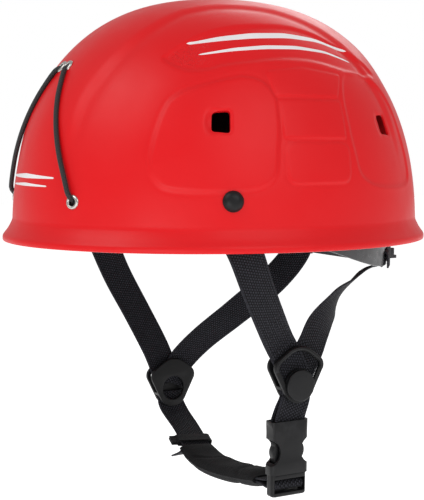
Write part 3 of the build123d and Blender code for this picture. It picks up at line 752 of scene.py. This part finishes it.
def mark_grain(obj):
    """Fine dotted texture at the front end of the long recess."""
    co = np.zeros(len(obj.data.vertices) * 3)
    obj.data.vertices.foreach_get("co", co)
    x, y, z = (co.reshape(-1, 3) / MM).T
    angle = np.degrees(np.arctan2(y / HALF_LENGTH, np.abs(x) / HALF_WIDTH))
    flat = flat_map(angle, np.clip(z, 0, HEIGHT))
    inside = ramp(inside_distance(flat, SWOOSH), 0.5, 2.5)
    share = inside * (1 - ramp(angle, -38, -24))
    layer = obj.data.attributes.new("grain", "FLOAT", "POINT")
    layer.data.foreach_set("value", share.astype(np.float32))


def spot_frame(spot, mirror, lift=0.0):
    """Centre and outward normal at a spot on the near (1) or far (-1) side."""
    centre, normal = surface(spot[0] if mirror > 0 else 180 - spot[0], spot[1], lift, False)
    return Vector(centre[0]), Vector(normal[0])


def cutters():
    """All the holes in the shell as one mesh of prisms along the wall's normal."""
    verts, faces = [], []

    def prism(outline, direction):
        first, count = len(verts), len(outline)
        for step in (-8 * MM, 6 * MM):
            verts.extend(Vector(p) + direction * step for p in outline)
        faces.extend(grid_faces(2, count, first))
        faces.extend(end_faces(2, count, first))

    for mirror in (1, -1):
        for spot, outline in ((FRONT_VENT, VENTS[0]), (REAR_VENT, VENTS[1])):
            angle = outline[:, 0] / DEGREE
            height = np.interp(outline[:, 1], _arc, _heights)
            pts, _ = surface(angle if mirror > 0 else 180 - angle, height, 0, False)
            prism(pts[::mirror], spot_frame(spot, mirror)[1])
        for spot, radius in ((RIVET, 2.7), (LOW_EYELET, 3.0), (TOP_EYELET, 3.0)):
            centre, normal = spot_frame(spot, mirror)
            _, side, other = square_to(normal)
            prism([centre + (side * math.cos(t) + other * math.sin(t)) * radius * MM
                   for t in np.linspace(0, 2 * math.pi, 24, endpoint=False)], normal)
    mesh = bpy.data.meshes.new("cutters")
    mesh.from_pydata(verts, [], faces)
    obj = link("cutters", mesh)
    tidy_normals(obj)
    return obj


def make_fittings():
    """Rolled eyelets, domed rivets and the parts that the rivets hold."""
    eyelet = [(2.2, -3.3), (2.2, -0.2), (2.25, 0.5), (2.5, 0.95), (2.9, 1.12), (3.4, 1.05), (3.9,
        0.8), (4.2, 0.45),
              (4.3, 0.15), (4.15, 0.02), (2.9, 0.0), (2.85, -0.4), (2.85, -3.2), (2.6, -3.45),
              (2.2, -3.3)]
    rivet = [(0.0, 3.25), (1.2, 3.22), (2.6, 3.05), (3.9, 2.6), (4.9, 1.95), (5.5, 1.3), (5.75,
        0.95), (5.72, 0.8),
             (5.9, 0.72), (6.15, 0.5), (6.2, 0.15), (6.0, 0.0), (2.5, 0.0), (2.5, -8.4), (0.0,
             -8.4)]
    for side, mirror in (("left", 1), ("right", -1)):
        for place_name, spot in (("top", TOP_EYELET), ("low", LOW_EYELET)):
            centre, normal = spot_frame(spot, mirror)
            lift = max(relief(np.array([spot[0]]), np.array([spot[1]]))[0], 0)
            spun(f"eyelet_{place_name}_{side}", [(r, h + lift) for r, h in eyelet], centre, normal,
                 NICKEL, "root", f"cord_eyelet_{place_name}_{side}")
        centre, normal = spot_frame(RIVET, mirror)
        spun(f"rivet_{side}", [(r, h + 0.25) for r, h in rivet], centre, normal,
             SATIN, "root", f"side_rivet_{side}", 64)
        washer = NODES[f"rivet_washer_{side}"]
        washer.data.materials.clear()
        washer.data.materials.append(NICKEL)
        soften(f"side_bracket_{side}", BLACK, "root", 0.6 * MM)


# ---------------------------------------------------------------- headlamp cord
def cord_route():
    """Control points of the cord, the same as in the CAD."""
    low_in, _ = spot_frame(LOW_EYELET, 1, -8.0)
    low_out, _ = spot_frame(LOW_EYELET, 1, 3.0)
    top_out, _ = spot_frame(TOP_EYELET, 1, 3.0)
    top_in, _ = spot_frame(TOP_EYELET, 1, -7.0)
    half = [low_in, low_out]
    for share in (0.16, 0.34, 0.53, 0.71, 0.87):
        x = low_out.x + (top_out.x - low_out.x) * share
        z = low_out.z + (top_out.z - low_out.z) * share
        angle = -math.degrees(math.acos(x / MM / (HALF_WIDTH * float(profile(z / MM)))))
        point, _ = surface(angle, z / MM, 2.7, False)
        half.append(Vector(point[0]))
    half += [top_out, top_in]
    return half + [Vector((-p.x, p.y, p.z)) for p in reversed(half)]


def spline_points(route):
    """Points along the smooth NURBS curve with these control points."""
    curve = bpy.data.curves.new("route", "CURVE")
    curve.dimensions = "3D"
    spline = curve.splines.new("NURBS")
    spline.points.add(len(route) - 1)
    for p, at in zip(spline.points, route):
        p.co = (*at, 1)
    spline.order_u = 3
    spline.use_endpoint_u = True
    spline.resolution_u = 12
    obj = link("route", curve)
    bpy.context.view_layer.update()
    points = [v.co.copy() for v in evaluated_mesh(obj).vertices]
    bpy.data.objects.remove(obj)
    return points


def even(points, step):
    """The same line with its points a fixed distance apart."""
    pts = np.array([tuple(p) for p in points])
    at = run_lengths(pts)
    count = max(8, int(at[-1] / step))
    want = np.linspace(0, at[-1], count)
    return np.stack([np.interp(want, at, pts[:, k]) for k in range(3)], -1), at[-1]


def tube(name, points, radius, mat, body, node, sides=16, braid=0.0):
    """A round cord along points, with a braided surface and UVs of turns and millimetres."""
    pts = np.asarray(points)
    tangent = unit_rows(np.gradient(pts, axis=0))
    normal = np.cross(tangent[0], (0, 0, 1.0))
    normal /= np.linalg.norm(normal)
    length = run_lengths(pts)
    verts = []
    for i, p in enumerate(pts):
        normal = normal - tangent[i] * (normal @ tangent[i])
        normal /= np.linalg.norm(normal)
        other = np.cross(tangent[i], normal)
        for k in range(sides):
            a = 2 * math.pi * k / sides
            run, round_it = length[i] / MM / 2.0, 4 * k / sides
            strands = [abs(math.sin(math.pi * (run + sense * round_it))) for sense in (1, -1)]
            swell = 1 + braid * (strands[0] * strands[1] - 0.5)
            verts.append(p + (normal * math.cos(a) + other * math.sin(a)) * radius * swell)
    faces = grid_faces(len(pts), sides)
    uvs = []
    for i in range(len(pts) - 1):
        for j in range(sides):
            uvs += [(j / sides, length[i] / MM), ((j + 1) / sides, length[i] / MM),
                    ((j + 1) / sides, length[i + 1] / MM), (j / sides, length[i + 1] / MM)]
    faces += end_faces(len(pts), sides)
    uvs += [(0, 0)] * (2 * sides)
    return put(name, verts, faces, mat, body, node, uvs)


def knot_points(centre, axis, size):
    """An overhand knot drawn tight, as a closed line round a centre."""
    up, side, other = square_to(axis)
    out = []
    for t in np.linspace(0, 2 * math.pi, 73):
        x, y = math.sin(t) + 2 * math.sin(2 * t), math.cos(t) - 2 * math.cos(2 * t)
        z = -math.sin(3 * t)
        out.append(Vector(centre) + (side * x + other * y) * size * 0.34 + up * z * size * 0.62)
    return out


def make_cord():
    route = cord_route()
    points, length = even(spline_points(route), 0.35 * MM)
    for side, end, before in (("left", route[0], route[1]), ("right", route[-1], route[-2])):
        inward = (end - before).normalized()
        loop = knot_points(end + inward * 2.6 * MM, inward, 1.75 * MM)
        tube(f"knot_{side}", loop, 1.15 * MM, BRAID, "root", f"cord_knot_{side}",
                          10)
    line = tube("headlamp_cord", points, 1.5 * MM, BRAID, "root", "lamp_cord",
                16, 0.06)


make_cord()
make_shell()
make_fittings()


# ---------------------------------------------------------------- harness webbing
WEB, WEB_THICK = 21.0, 1.3
THREAD_WIDE = 0.42
RING_X, RING_Y = 93.0, 120.0
BUCKLE_Y = 0.5
DOME_X, DOME_Y = 101.5, 126.0       # half sizes of the crown cradle's dome
DOME_POWER = 2.2


def flipped(stations):
    return [((-c[0], c[1], c[2]), (-a[0], a[1], a[2])) for c, a in stations]


def wall_frame(angle, z, inset):
    """Point and directions on the wall, in millimetres: place, round, normal."""
    point, normal = surface(angle, z, 0, False)
    n = normal[0]
    around = np.cross((0, 0, 1.0), n)
    around /= np.linalg.norm(around)
    return point[0] / MM - n * inset, around, n


def rivet_stations():
    out = []
    for rise in (9.0, 0.0, -12.0):
        point, around, _ = wall_frame(RIVET[0], RIVET[1] + rise, WALL + 0.8 + WEB_THICK / 2)
        out.append((tuple(point), tuple(around)))
    return out


def ring_point(angle, z, inset=0.0):
    c, s = math.cos(math.radians(angle)), math.sin(math.radians(angle))
    inward = np.array([c / RING_X, s / RING_Y, 0])
    inward /= np.linalg.norm(inward)
    return np.array([RING_X * c, RING_Y * s, z]) - inward * inset


def rail_stations():
    """Round the lower rail of the slot in the left nape arm."""
    ahead = ring_point(57, 0) - ring_point(55, 0)
    ahead /= np.linalg.norm(ahead)
    out = np.array([ahead[1], -ahead[0], 0])
    middle = ring_point(56, -9.0, 1.0)
    around = [(2.6, -10.5), (2.5, -4.5), (2.0, -1.2), (0.0, 0.3), (-2.0, -1.2), (-2.6, -4.5),
        (-3.2, -8.0)]
    return [(tuple(middle + out * o + np.array([0, 0, z])), tuple(ahead)) for o, z in around]


FRONT_LEFT = rivet_stations() + [
    ((101.2, -41, -2), (0.25, 0.93, 0.25)), ((97.2, -30, -23), (0.12, 0.88, 0.44)),
    ((91.2, -17, -44), (0.05, 0.86, 0.5)), ((87.0, -8.5, -56.5), (0, 0.86, 0.5)),
    ((86.3, -2.5, -66), (0, 0.88, 0.46)), ((86.3, 4.2, -79), (0, 0.94, 0.34))]
FRONT_RIGHT = flipped(rivet_stations()) + [
    ((-101.2, -38, -8), (0.2, 0.94, 0.3)), ((-98.5, -27, -34), (0.1, 0.9, 0.42)),
    ((-94, -14, -60), (0, 0.88, 0.47)), ((-88.4, -4, -82), (0, 0.88, 0.45)),
    ((-86.4, 1.5, -95), (0, 0.9, 0.42)), ((-86.3, 8.8, -114.5), (0, 0.95, 0.3))]
REAR_LEFT = rail_stations() + [
    ((50.5, 82, -22), (-0.78, 0.62, -0.05)), ((61, 58, -32), (-0.8, 0.59, -0.15)),
    ((70.5, 42, -41.5), (-0.53, 0.76, -0.29)), ((79, 26, -52), (-0.16, 0.8, -0.4)),
    ((83.4, 18, -61), (0, 0.78, -0.6)), ((83.8, 14, -67.5), (0, 0.82, -0.56)),
    ((83.8, 8.8, -77.5), (0, 0.86, -0.5))]
REAR_RIGHT = flipped(rail_stations()) + [
    ((-53.5, 90, -28.5), (0.54, 0.44, -0.7)), ((-59, 76, -44), (0.32, 0.55, -0.77)),
    ((-70, 55, -64), (0.1, 0.62, -0.77)), ((-79.5, 36, -81), (0, 0.68, -0.73)),
    ((-83.6, 22.5, -94), (0, 0.74, -0.67)), ((-83.8, 16, -102), (0, 0.8, -0.6)),
    ((-83.8, 10.6, -114.5), (0, 0.93, -0.37))]
SOCKET_LOOP = [(p, (0, 1, 0)) for p in (
    (86.2, 5, -84.4), (86.2, 5, -92), (86.0, 2.6, -100), (85.7, BUCKLE_Y, -107.5), (85.4,
    BUCKLE_Y, -110.8),
    (83.5, BUCKLE_Y, -113), (81.6, BUCKLE_Y, -110.8), (81.3, BUCKLE_Y, -107.5), (82.2, 2.6,
    -100), (83.8, 5, -92),
    (83.8, 5, -84.4))]
CHIN_RUN = [(p, (0, 1, 0)) for p in (
    (-85, 10.3, -120.5), (-85, 10.4, -128.5), (-80.4, 12.6, -136.2), (-71, 14.6, -143.8), (-62,
    14.4, -148.9),
    (-56, 13.6, -151.6), (-49, 12.4, -154.2), (-40, 11.0, -156.6), (-21, 9.0, -158.4), (-1.5,
    7.5, -157.4),
    (17, 6.0, -155.1), (36, 4.0, -151.9), (54.5, 2.0, -148.5), (66, BUCKLE_Y, -146.1), (76.0,
    BUCKLE_Y, -144.3))]
TAIL_DROP = 2.0


def lifted(stations, rise):
    """The same run moved off the strap's face by rise."""
    moved = []
    for i, (centre, across) in enumerate(stations):
        ahead = np.subtract(stations[min(i + 1, len(stations) - 1)][0], stations[max(i - 1, 0)][0])
        up = np.cross(ahead, across)
        moved.append((tuple(np.array(centre) + up / np.linalg.norm(up) * rise), across))
    return moved


TAIL_RUN = ([((-64.0, 8.0, -163.0), (0.2, 1, 0.15)), ((-57.0, 10.4, -159.8), (0.08, 1, 0.06))]
            + lifted(CHIN_RUN, -TAIL_DROP)[6:-1] + [((76.0, BUCKLE_Y, -148.7), (0, 1, 0))])
PLUG_LOOP = [((x, BUCKLE_Y, z), (0, 1, 0)) for x, z in (
    (76.8, -144.1), (81.0, -143.5), (84.4, -143.7), (86.2, -146.1), (84.4, -148.5), (81.0,
    -148.7), (76.8, -148.8))]


def follow(obj, blend):
    """Bake a piece's transform into its mesh, if it has a blend."""
    if blend:
        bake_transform(obj)


def keeper_loop():
    """The band round the chin strap, its two ends sewn together as a tab."""
    here = np.array(CHIN_RUN[5][0])
    ahead = np.array(CHIN_RUN[6][0]) - here
    ahead /= np.linalg.norm(ahead)
    side = np.array([0, 1.0, 0]) - ahead * ahead[1]
    side /= np.linalg.norm(side)
    face = np.cross(ahead, side)
    around = [(-17.5, 0.8), (-13.2, 0.9), (-11.2, 1.9), (0, 2.0), (11.0, 1.9), (12.3, 0),
              (11.0, -1.9), (0, -2.0), (-11.2, -1.9), (-13.2, -0.9), (-17.5, -0.8)]
    return [(tuple(here - ahead * 0.5 + side * y + face * f), tuple(ahead)) for y, f in around]


def stitches(name, stations, rows, body=None, side=1, blend=None):
    """Thread stitches on a strap's face. rows holds (start, end, offset, offset at the end, count),
    in millimetres."""
    centre, across, face, tangent, length = strap_rings(stations, 12)
    verts, faces = [], []
    for start, stop, at, to, count in rows:
        for k in range(count):
            middle = start + (stop - start) * (k + 0.5) / count
            reach = abs(stop - start) / count * 0.36 if abs(stop - start) > 0.01 else 0.0
            off = at + (to - at) * (k + 0.5) / count
            lean = abs(to - at) / count * 0.36
            first = len(verts)
            spot, along, out, up = (
                np.array([np.interp(middle * MM, length, line[:, a]) for a in range(3)])
                for line in (centre, tangent, across, face))
            up = up * side
            spot = spot + out * off * MM
            ahead = (along * max(reach, 0.15) * np.sign(stop - start + 1e-9)
                     + out * lean * np.sign(to - at + 1e-9))
            size = np.linalg.norm(ahead)
            ahead = ahead / size
            wide = np.cross(up, ahead)
            for i in range(7):
                t = i / 6 * 2 - 1
                girth = THREAD_WIDE / 2 * math.sqrt(max(0.05, 1 - t ** 4))
                ride_up = WEB_THICK / 2 * 0.86 + 0.16 - 0.22 * t * t
                for j in range(6):
                    a = 2 * math.pi * j / 6
                    verts.append(spot + (ahead * t * size + wide * math.cos(a) * girth
                                         + up * (ride_up + math.sin(a) * girth * 0.8)) * MM)
            faces += grid_faces(7, 6, first) + end_faces(7, 6, first)
    follow(put(name, verts, faces, THREAD, body, None), blend)


def box_stitch(start, stop, half):
    """Rows of a sewn box with a bar at each end."""
    return seams(start, stop, half, 7) + [(at, at, -half, half, 9) for at in (start, stop)]


def bars(start, stop, count, half):
    """Short close bars across the strap."""
    return [(start + (stop - start) * k / (count - 1),) * 2 + (-half, half,
        10) for k in range(count)]


REAR_BLEND = (("root", "adjuster"), (0, 0.035, -0.02), (0, 0.092, -0.02))
CHIN_BLEND = (("root", "plug"), (-0.055, 0, -0.15), (0.070, 0, -0.15))


def make_straps():
    def web(name, stations, node, blend=None, body="root", width=WEB):
        body = None if blend else body
        follow(strap(name, stations, width, WEB_THICK, WEBBING, body, node), blend)

    web("web_front_left", FRONT_LEFT, "front_strap_left")
    web("web_front_right", FRONT_RIGHT, "front_strap_right")
    web("web_rear_left", REAR_LEFT, "rear_strap_left", REAR_BLEND)
    web("web_rear_right", REAR_RIGHT, "rear_strap_right", REAR_BLEND)
    web("web_socket", SOCKET_LOOP, "socket_strap")
    web("web_chin", CHIN_RUN, "chin_strap", CHIN_BLEND)
    web("web_tail", TAIL_RUN, "strap_tail", CHIN_BLEND)
    web("web_plug_loop", PLUG_LOOP, "plug_loop", None, "plug", WEB - 0.4)
    for letter, direction, top in (("a", 52, 117.5), ("b", 128, 120.5)):
        c, s = math.cos(math.radians(direction)), math.sin(math.radians(direction))
        stations = []
        for share in (-1, -0.9, -0.75, -0.55, -0.3, 0, 0.3, 0.55, 0.75, 0.9, 1):
            z = 44 + (top - 44) * (1 - abs(share) ** DOME_POWER)
            stations.append(((DOME_X * c * share, DOME_Y * s * share, z), (-s, c, 0)))
        web("web_crown_" + letter, stations, "crown_strap_" + letter)


make_straps()


# ---------------------------------------------------------------- moulded parts
def arch_rib(side, centre):
    """Raised bar over the top of a divider's outer half."""
    out = 1 if centre[0] > 0 else -1
    arcs = [(11.0, 4.5, 5.2, -25, 54.7), (0.0, 2.0, 13.6, 54.7, 125.3), (-11.0, 4.5, 5.2, 125.3,
        205)]
    points = []
    for a, b, radius, low, high in arcs:
        for t in np.radians(np.linspace(low, high, 12)):
            points.append(Vector((centre[0] + out * 4.75,
                centre[1] + out * (a + radius * math.cos(t)),
                                  centre[2] + b + radius * math.sin(t))) * MM)
    line, _ = even(points, 1.2 * MM)
    tube(f"divider_rib_{side}", line, 1.3 * MM, SATIN, "root", None, 12)


def make_moulded():
    for end in ("front_left", "front_right", "rear_left", "rear_right"):
        soften(f"cradle_anchor_{end}", BLACK, "root", 0.7 * MM)
    soften("headband", CLEAR, "root", 0.5 * MM)
    for side in ("left", "right"):
        arm = soften(f"nape_arm_{side}", CLEAR, None, 0.35 * MM)
        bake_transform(arm)
        for part, mat, width in (("outer", BLACK, 0.75), ("inner", BLACK, 0.5), ("button", SATIN,
            0.35)):
            soften(f"divider_{part}_{side}", mat, "root", width * MM)
    arch_rib("left", (85, 5, -77))
    arch_rib("right", (-85, 10, -113))
    for node, mat, body, width in (
            ("adjuster_plate", SMOKE, "adjuster", 0.5), ("adjuster_cover", SMOKE, "adjuster", 0.4),
            ("adjuster_knob", BLACK, "knob", 0.5), ("knob_cap", SATIN, "knob", 0.3),
            ("pinion_shaft", SMOKE, "knob", 0.12), ("rack_left", SMOKE, "rack_left", 0.15),
            ("rack_right", SMOKE, "rack_right", 0.15), ("buckle_socket", SATIN, "root", 0.75),
            ("buckle_plug", SATIN, "plug", 0.65), ("prong_front", SATIN, "prong_front", 0.4),
            ("prong_rear", SATIN, "prong_rear", 0.4)):
        soften(node, mat, body, width * MM)
    strap("keeper_band", keeper_loop(), 8.0, 1.2, ELASTIC, "root", "tail_keeper",
        10)


make_moulded()


# ---------------------------------------------------------------- printed marks
def stripe(name, path, half_widths, mirror):
    """A thin closed layer of ink that follows the wall along a path of (angle, height)."""
    path = np.array(path, float)
    share = np.linspace(0, 1, 64)
    knots = np.linspace(0, 1, len(path))
    angle, z = np.interp(share, knots, path[:, 0]), np.interp(share, knots, path[:, 1])
    for _ in range(6):
        angle[1:-1] = (angle[:-2] + 2 * angle[1:-1] + angle[2:]) / 4
        z[1:-1] = (z[:-2] + 2 * z[1:-1] + z[2:]) / 4
    half = np.interp(share, np.linspace(0, 1, len(half_widths)), half_widths)
    ends = np.minimum(share, 1 - share) * 64 / 1.6
    half = half * np.sqrt(np.clip(1 - (1 - np.clip(ends, 0, 1)) ** 2, 0.02, 1))
    flat = flat_map(angle, z)
    ahead = unit_rows(np.gradient(flat, axis=0))
    off = np.stack([-ahead[:, 1], ahead[:, 0]], -1)
    rows = []
    for lift in (0.09, -0.15):
        for t in (np.linspace(-1, 1, 7) if lift > 0 else np.linspace(1, -1, 7)):
            spot = flat + off * (half * t)[:, None]
            turn = spot[:, 0] / DEGREE
            height = np.interp(spot[:, 1], _arc, _heights)
            points, _ = surface(turn if mirror > 0 else 180 - turn, height, lift)
            rows.append(points)
    grid = np.stack(rows, 1)
    count = grid.shape[1]
    faces = grid_faces(len(grid), count) + end_faces(len(grid), count)
    tidy_normals(put(name, grid.reshape(-1, 3), faces, PRINT, "root", None))


def make_prints():
    """Plain tapering double stripes in the long recess of each side, and one at the front."""
    upper = [(-38, 120.4), (-26, 124.0), (-13, 126.6), (2, 127.8), (17, 126.0), (31, 119.6)]
    lower = [(-33, 113.9), (-21, 117.5), (-9, 119.6), (4, 120.3), (17, 118.6), (29, 113.2)]
    for side, mirror in (("left", 1), ("right", -1)):
        stripe(f"stripe_upper_{side}", upper, (0.7, 1.9, 2.4, 2.3, 1.6, 0.7), mirror)
        stripe(f"stripe_lower_{side}", lower, (0.5, 1.2, 1.5, 1.4, 1.0, 0.5), mirror)
    stripe("stripe_front_upper", [(-106, 41.0), (-90, 41.6), (-74, 41.0)], (0.5, 1.5, 0.5), 1)
    stripe("stripe_front_lower", [(-103, 36.0), (-90, 36.5), (-77, 36.0)], (0.4, 1.0, 0.4), 1)


make_prints()


# ---------------------------------------------------------------- padding
CLOTH_FRAMES = 20


def puffed(node, name, body, voxel, cap, shrink):
    """Foam in sewn fabric: the pad's shape blown up a little by a cloth simulation."""
    mesh = NODES[node].data.copy()
    obj = link(name, mesh)
    work = bmesh.new()
    work.from_mesh(mesh)
    bmesh.ops.remove_doubles(work, verts=work.verts, dist=0.004 * MM)
    bmesh.ops.recalc_face_normals(work, faces=work.faces)
    work.normal_update()
    normals = [v.normal.copy() for v in work.verts]
    for vert, normal in zip(work.verts, normals):
        vert.co -= normal * shrink
    work.to_mesh(mesh)
    work.free()
    remesh = obj.modifiers.new("even", "REMESH")
    remesh.mode = "VOXEL"
    remesh.voxel_size = voxel
    settle(obj)
    start = np.array([v.co for v in obj.data.vertices])
    cloth = obj.modifiers.new("cloth", "CLOTH")
    for key, value in (
            ("quality", 5), ("mass", 0.2), ("tension_stiffness", 8),
            ("compression_stiffness", 8), ("bending_stiffness", 0.4),
            ("use_pressure", True), ("uniform_pressure_force", 4)):
        setattr(cloth.settings, key, value)
    cloth.settings.effector_weights.gravity = 0
    cloth.point_cache.frame_start = 1
    cloth.point_cache.frame_end = CLOTH_FRAMES
    for step in range(1, CLOTH_FRAMES + 1):
        bpy.context.scene.frame_set(step)
    settle(obj)
    bpy.context.scene.frame_set(1)
    now = np.array([v.co for v in obj.data.vertices])
    move = now - start
    size = np.linalg.norm(move, axis=1)
    move *= (np.minimum(size, cap) / np.maximum(size, 1e-9))[:, None]
    obj.data.vertices.foreach_set("co", (start + move).ravel())
    finer = obj.modifiers.new("finer", "SUBSURF")
    finer.levels = 1
    settle(obj)
    place(obj, FABRIC, body, node)


def ring_faces(rows, count):
    """Faces of a grid whose last ring joins back to its first."""
    last = (rows - 1) * count
    closing = [(last + j, last + (j + 1) % count, (j + 1) % count, j) for j in range(count)]
    return grid_faces(rows, count) + closing


def chin_sleeve():
    """Foam sleeve round the chin strap, sewn along both edges, slack enough to wrinkle."""
    stations = lifted(CHIN_RUN, -TAIL_DROP / 2)[6:14]
    centre, across, face, _, length = strap_rings(stations, 14)
    rows, count = len(centre), 56
    total = length[-1]
    rng = np.random.default_rng(7)
    waves = [(rng.uniform(8, 34), rng.uniform(0, 6.28), rng.uniform(-3, 3)) for _ in range(9)]
    verts = []
    turn = np.linspace(0, 2 * math.pi, count, endpoint=False)
    for skin in (1, -1):
        order = range(rows) if skin > 0 else reversed(range(rows))
        for i in order:
            at = length[i] / total
            end = min(length[i], total - length[i]) / MM
            swell = 1 - 0.42 * max(0.0, 1 - end / 11) ** 2
            for t in turn:
                c, s = math.cos(t), math.sin(t)
                if skin > 0:
                    wide = 12.4 * math.copysign(abs(c) ** 0.62, c)
                    plump = (4.6 + 1.0 * math.sin(math.pi * at) ** 0.5) * swell
                    tall = plump * math.copysign(abs(s) ** 0.8, s)
                    wrinkle = sum(math.sin(at * f + p + c * q) for f, p, q in waves) / len(waves)
                    tall += 0.85 * wrinkle * abs(s) * math.copysign(1, s)
                    crease = math.exp(-(((at - 0.30 - 0.13 * c) * 100) / 2.4) ** 2)
                    crease += 0.8 * math.exp(-(((at - 0.70 + 0.10 * c) * 100) / 2.0) ** 2)
                    tall -= 0.9 * crease * s
                    to_edge = abs(t - math.pi) if c < 0 else min(t, 2 * math.pi - t)
                    seam = math.exp(-(to_edge / 0.10) ** 2)
                    wide += math.copysign(0.9 * seam, c)
                else:
                    wide = 10.9 * math.copysign(abs(c) ** 0.35, c)
                    tall = 2.55 * math.copysign(abs(s) ** 0.6, s)
                verts.append(centre[i] + (across[i] * wide + face[i] * tall) * MM)
    faces = ring_faces(2 * rows, count)
    obj = put("chin_pad_sleeve", verts, faces, FABRIC, None, "chin_pad")
    tidy_normals(obj)
    follow(obj, CHIN_BLEND)


def make_shade_liner_dome():
    """Dark knitted liner under the crown straps, pieced from gores with ridged seams; it also
    stands in for the shade seen inside the shell through the vents.
    """
    shares = np.concatenate([np.linspace(0.898, 0.80, 9), np.linspace(0.78, 0.02, 40)])
    turn = np.linspace(0, 2 * math.pi, 144, endpoint=False)
    layers = []
    for skin in (0.0, -0.9):
        rows = []
        for share in shares:
            ridge = 0.55 * np.abs(np.sin(3 * turn)) ** 0.3 - 0.55
            hem = 0.45 * math.exp(-((share - 0.885) / 0.012) ** 2)
            dome = 41 + 73.5 * (1 - share ** DOME_POWER)
            z = dome + ridge * min(1, share * 3) + skin + (hem if skin == 0 else -hem)
            size = share - (0.006 if skin < 0 else 0)
            x, y = DOME_X * size * np.cos(turn), DOME_Y * size * np.sin(turn)
            rows.append(np.stack([x, y, z], -1) * MM)
        layers.append(rows)
    grid = layers[0] + layers[1][::-1]
    verts = np.concatenate(grid)
    faces = ring_faces(len(grid), len(turn))
    # Dark liner dome: also painted shade behind the vents.
    obj = put("shade_liner_dome", verts, faces, MESH, "root", "comfort_liner")
    tidy_normals(obj)


def make_padding():
    chin_sleeve()
    make_shade_liner_dome()
    puffed("forehead_pad", "forehead_padding", "root", 1.6 * MM, 1.0 * MM, 0.5 * MM)
    puffed("crown_pad", "crown_padding", "root", 1.8 * MM, 1.6 * MM, 0.5 * MM)
    puffed("nape_pad", "nape_padding", "adjuster", 1.4 * MM, 1.0 * MM, 0.4 * MM)


make_padding()


# ---------------------------------------------------------------- stitching
def seams(start, stop, half, count):
    """A row of stitches along each edge of the strap."""
    return [(start, stop, at, at, count) for at in (-half, half)]


def make_stitching():
    stitches("sewn_front_left", FRONT_LEFT, seams(88, 116, 8.6, 15) + bars(90, 113, 7, 7.4), "root")
    stitches("sewn_chin", CHIN_RUN, box_stitch(8, 20, 7.8) + bars(36, 40, 2, 8.2), blend=CHIN_BLEND)
    stitches("sewn_socket", SOCKET_LOOP, seams(3, 20, 8.4, 9), "root")
    rear = seams(2, 9, 8.0, 4) + bars(3, 8, 3, 7.0)
    stitches("sewn_rear_left", REAR_LEFT, rear, blend=REAR_BLEND)
    stitches("sewn_rear_right", REAR_RIGHT, rear, blend=REAR_BLEND, side=-1)


make_stitching()
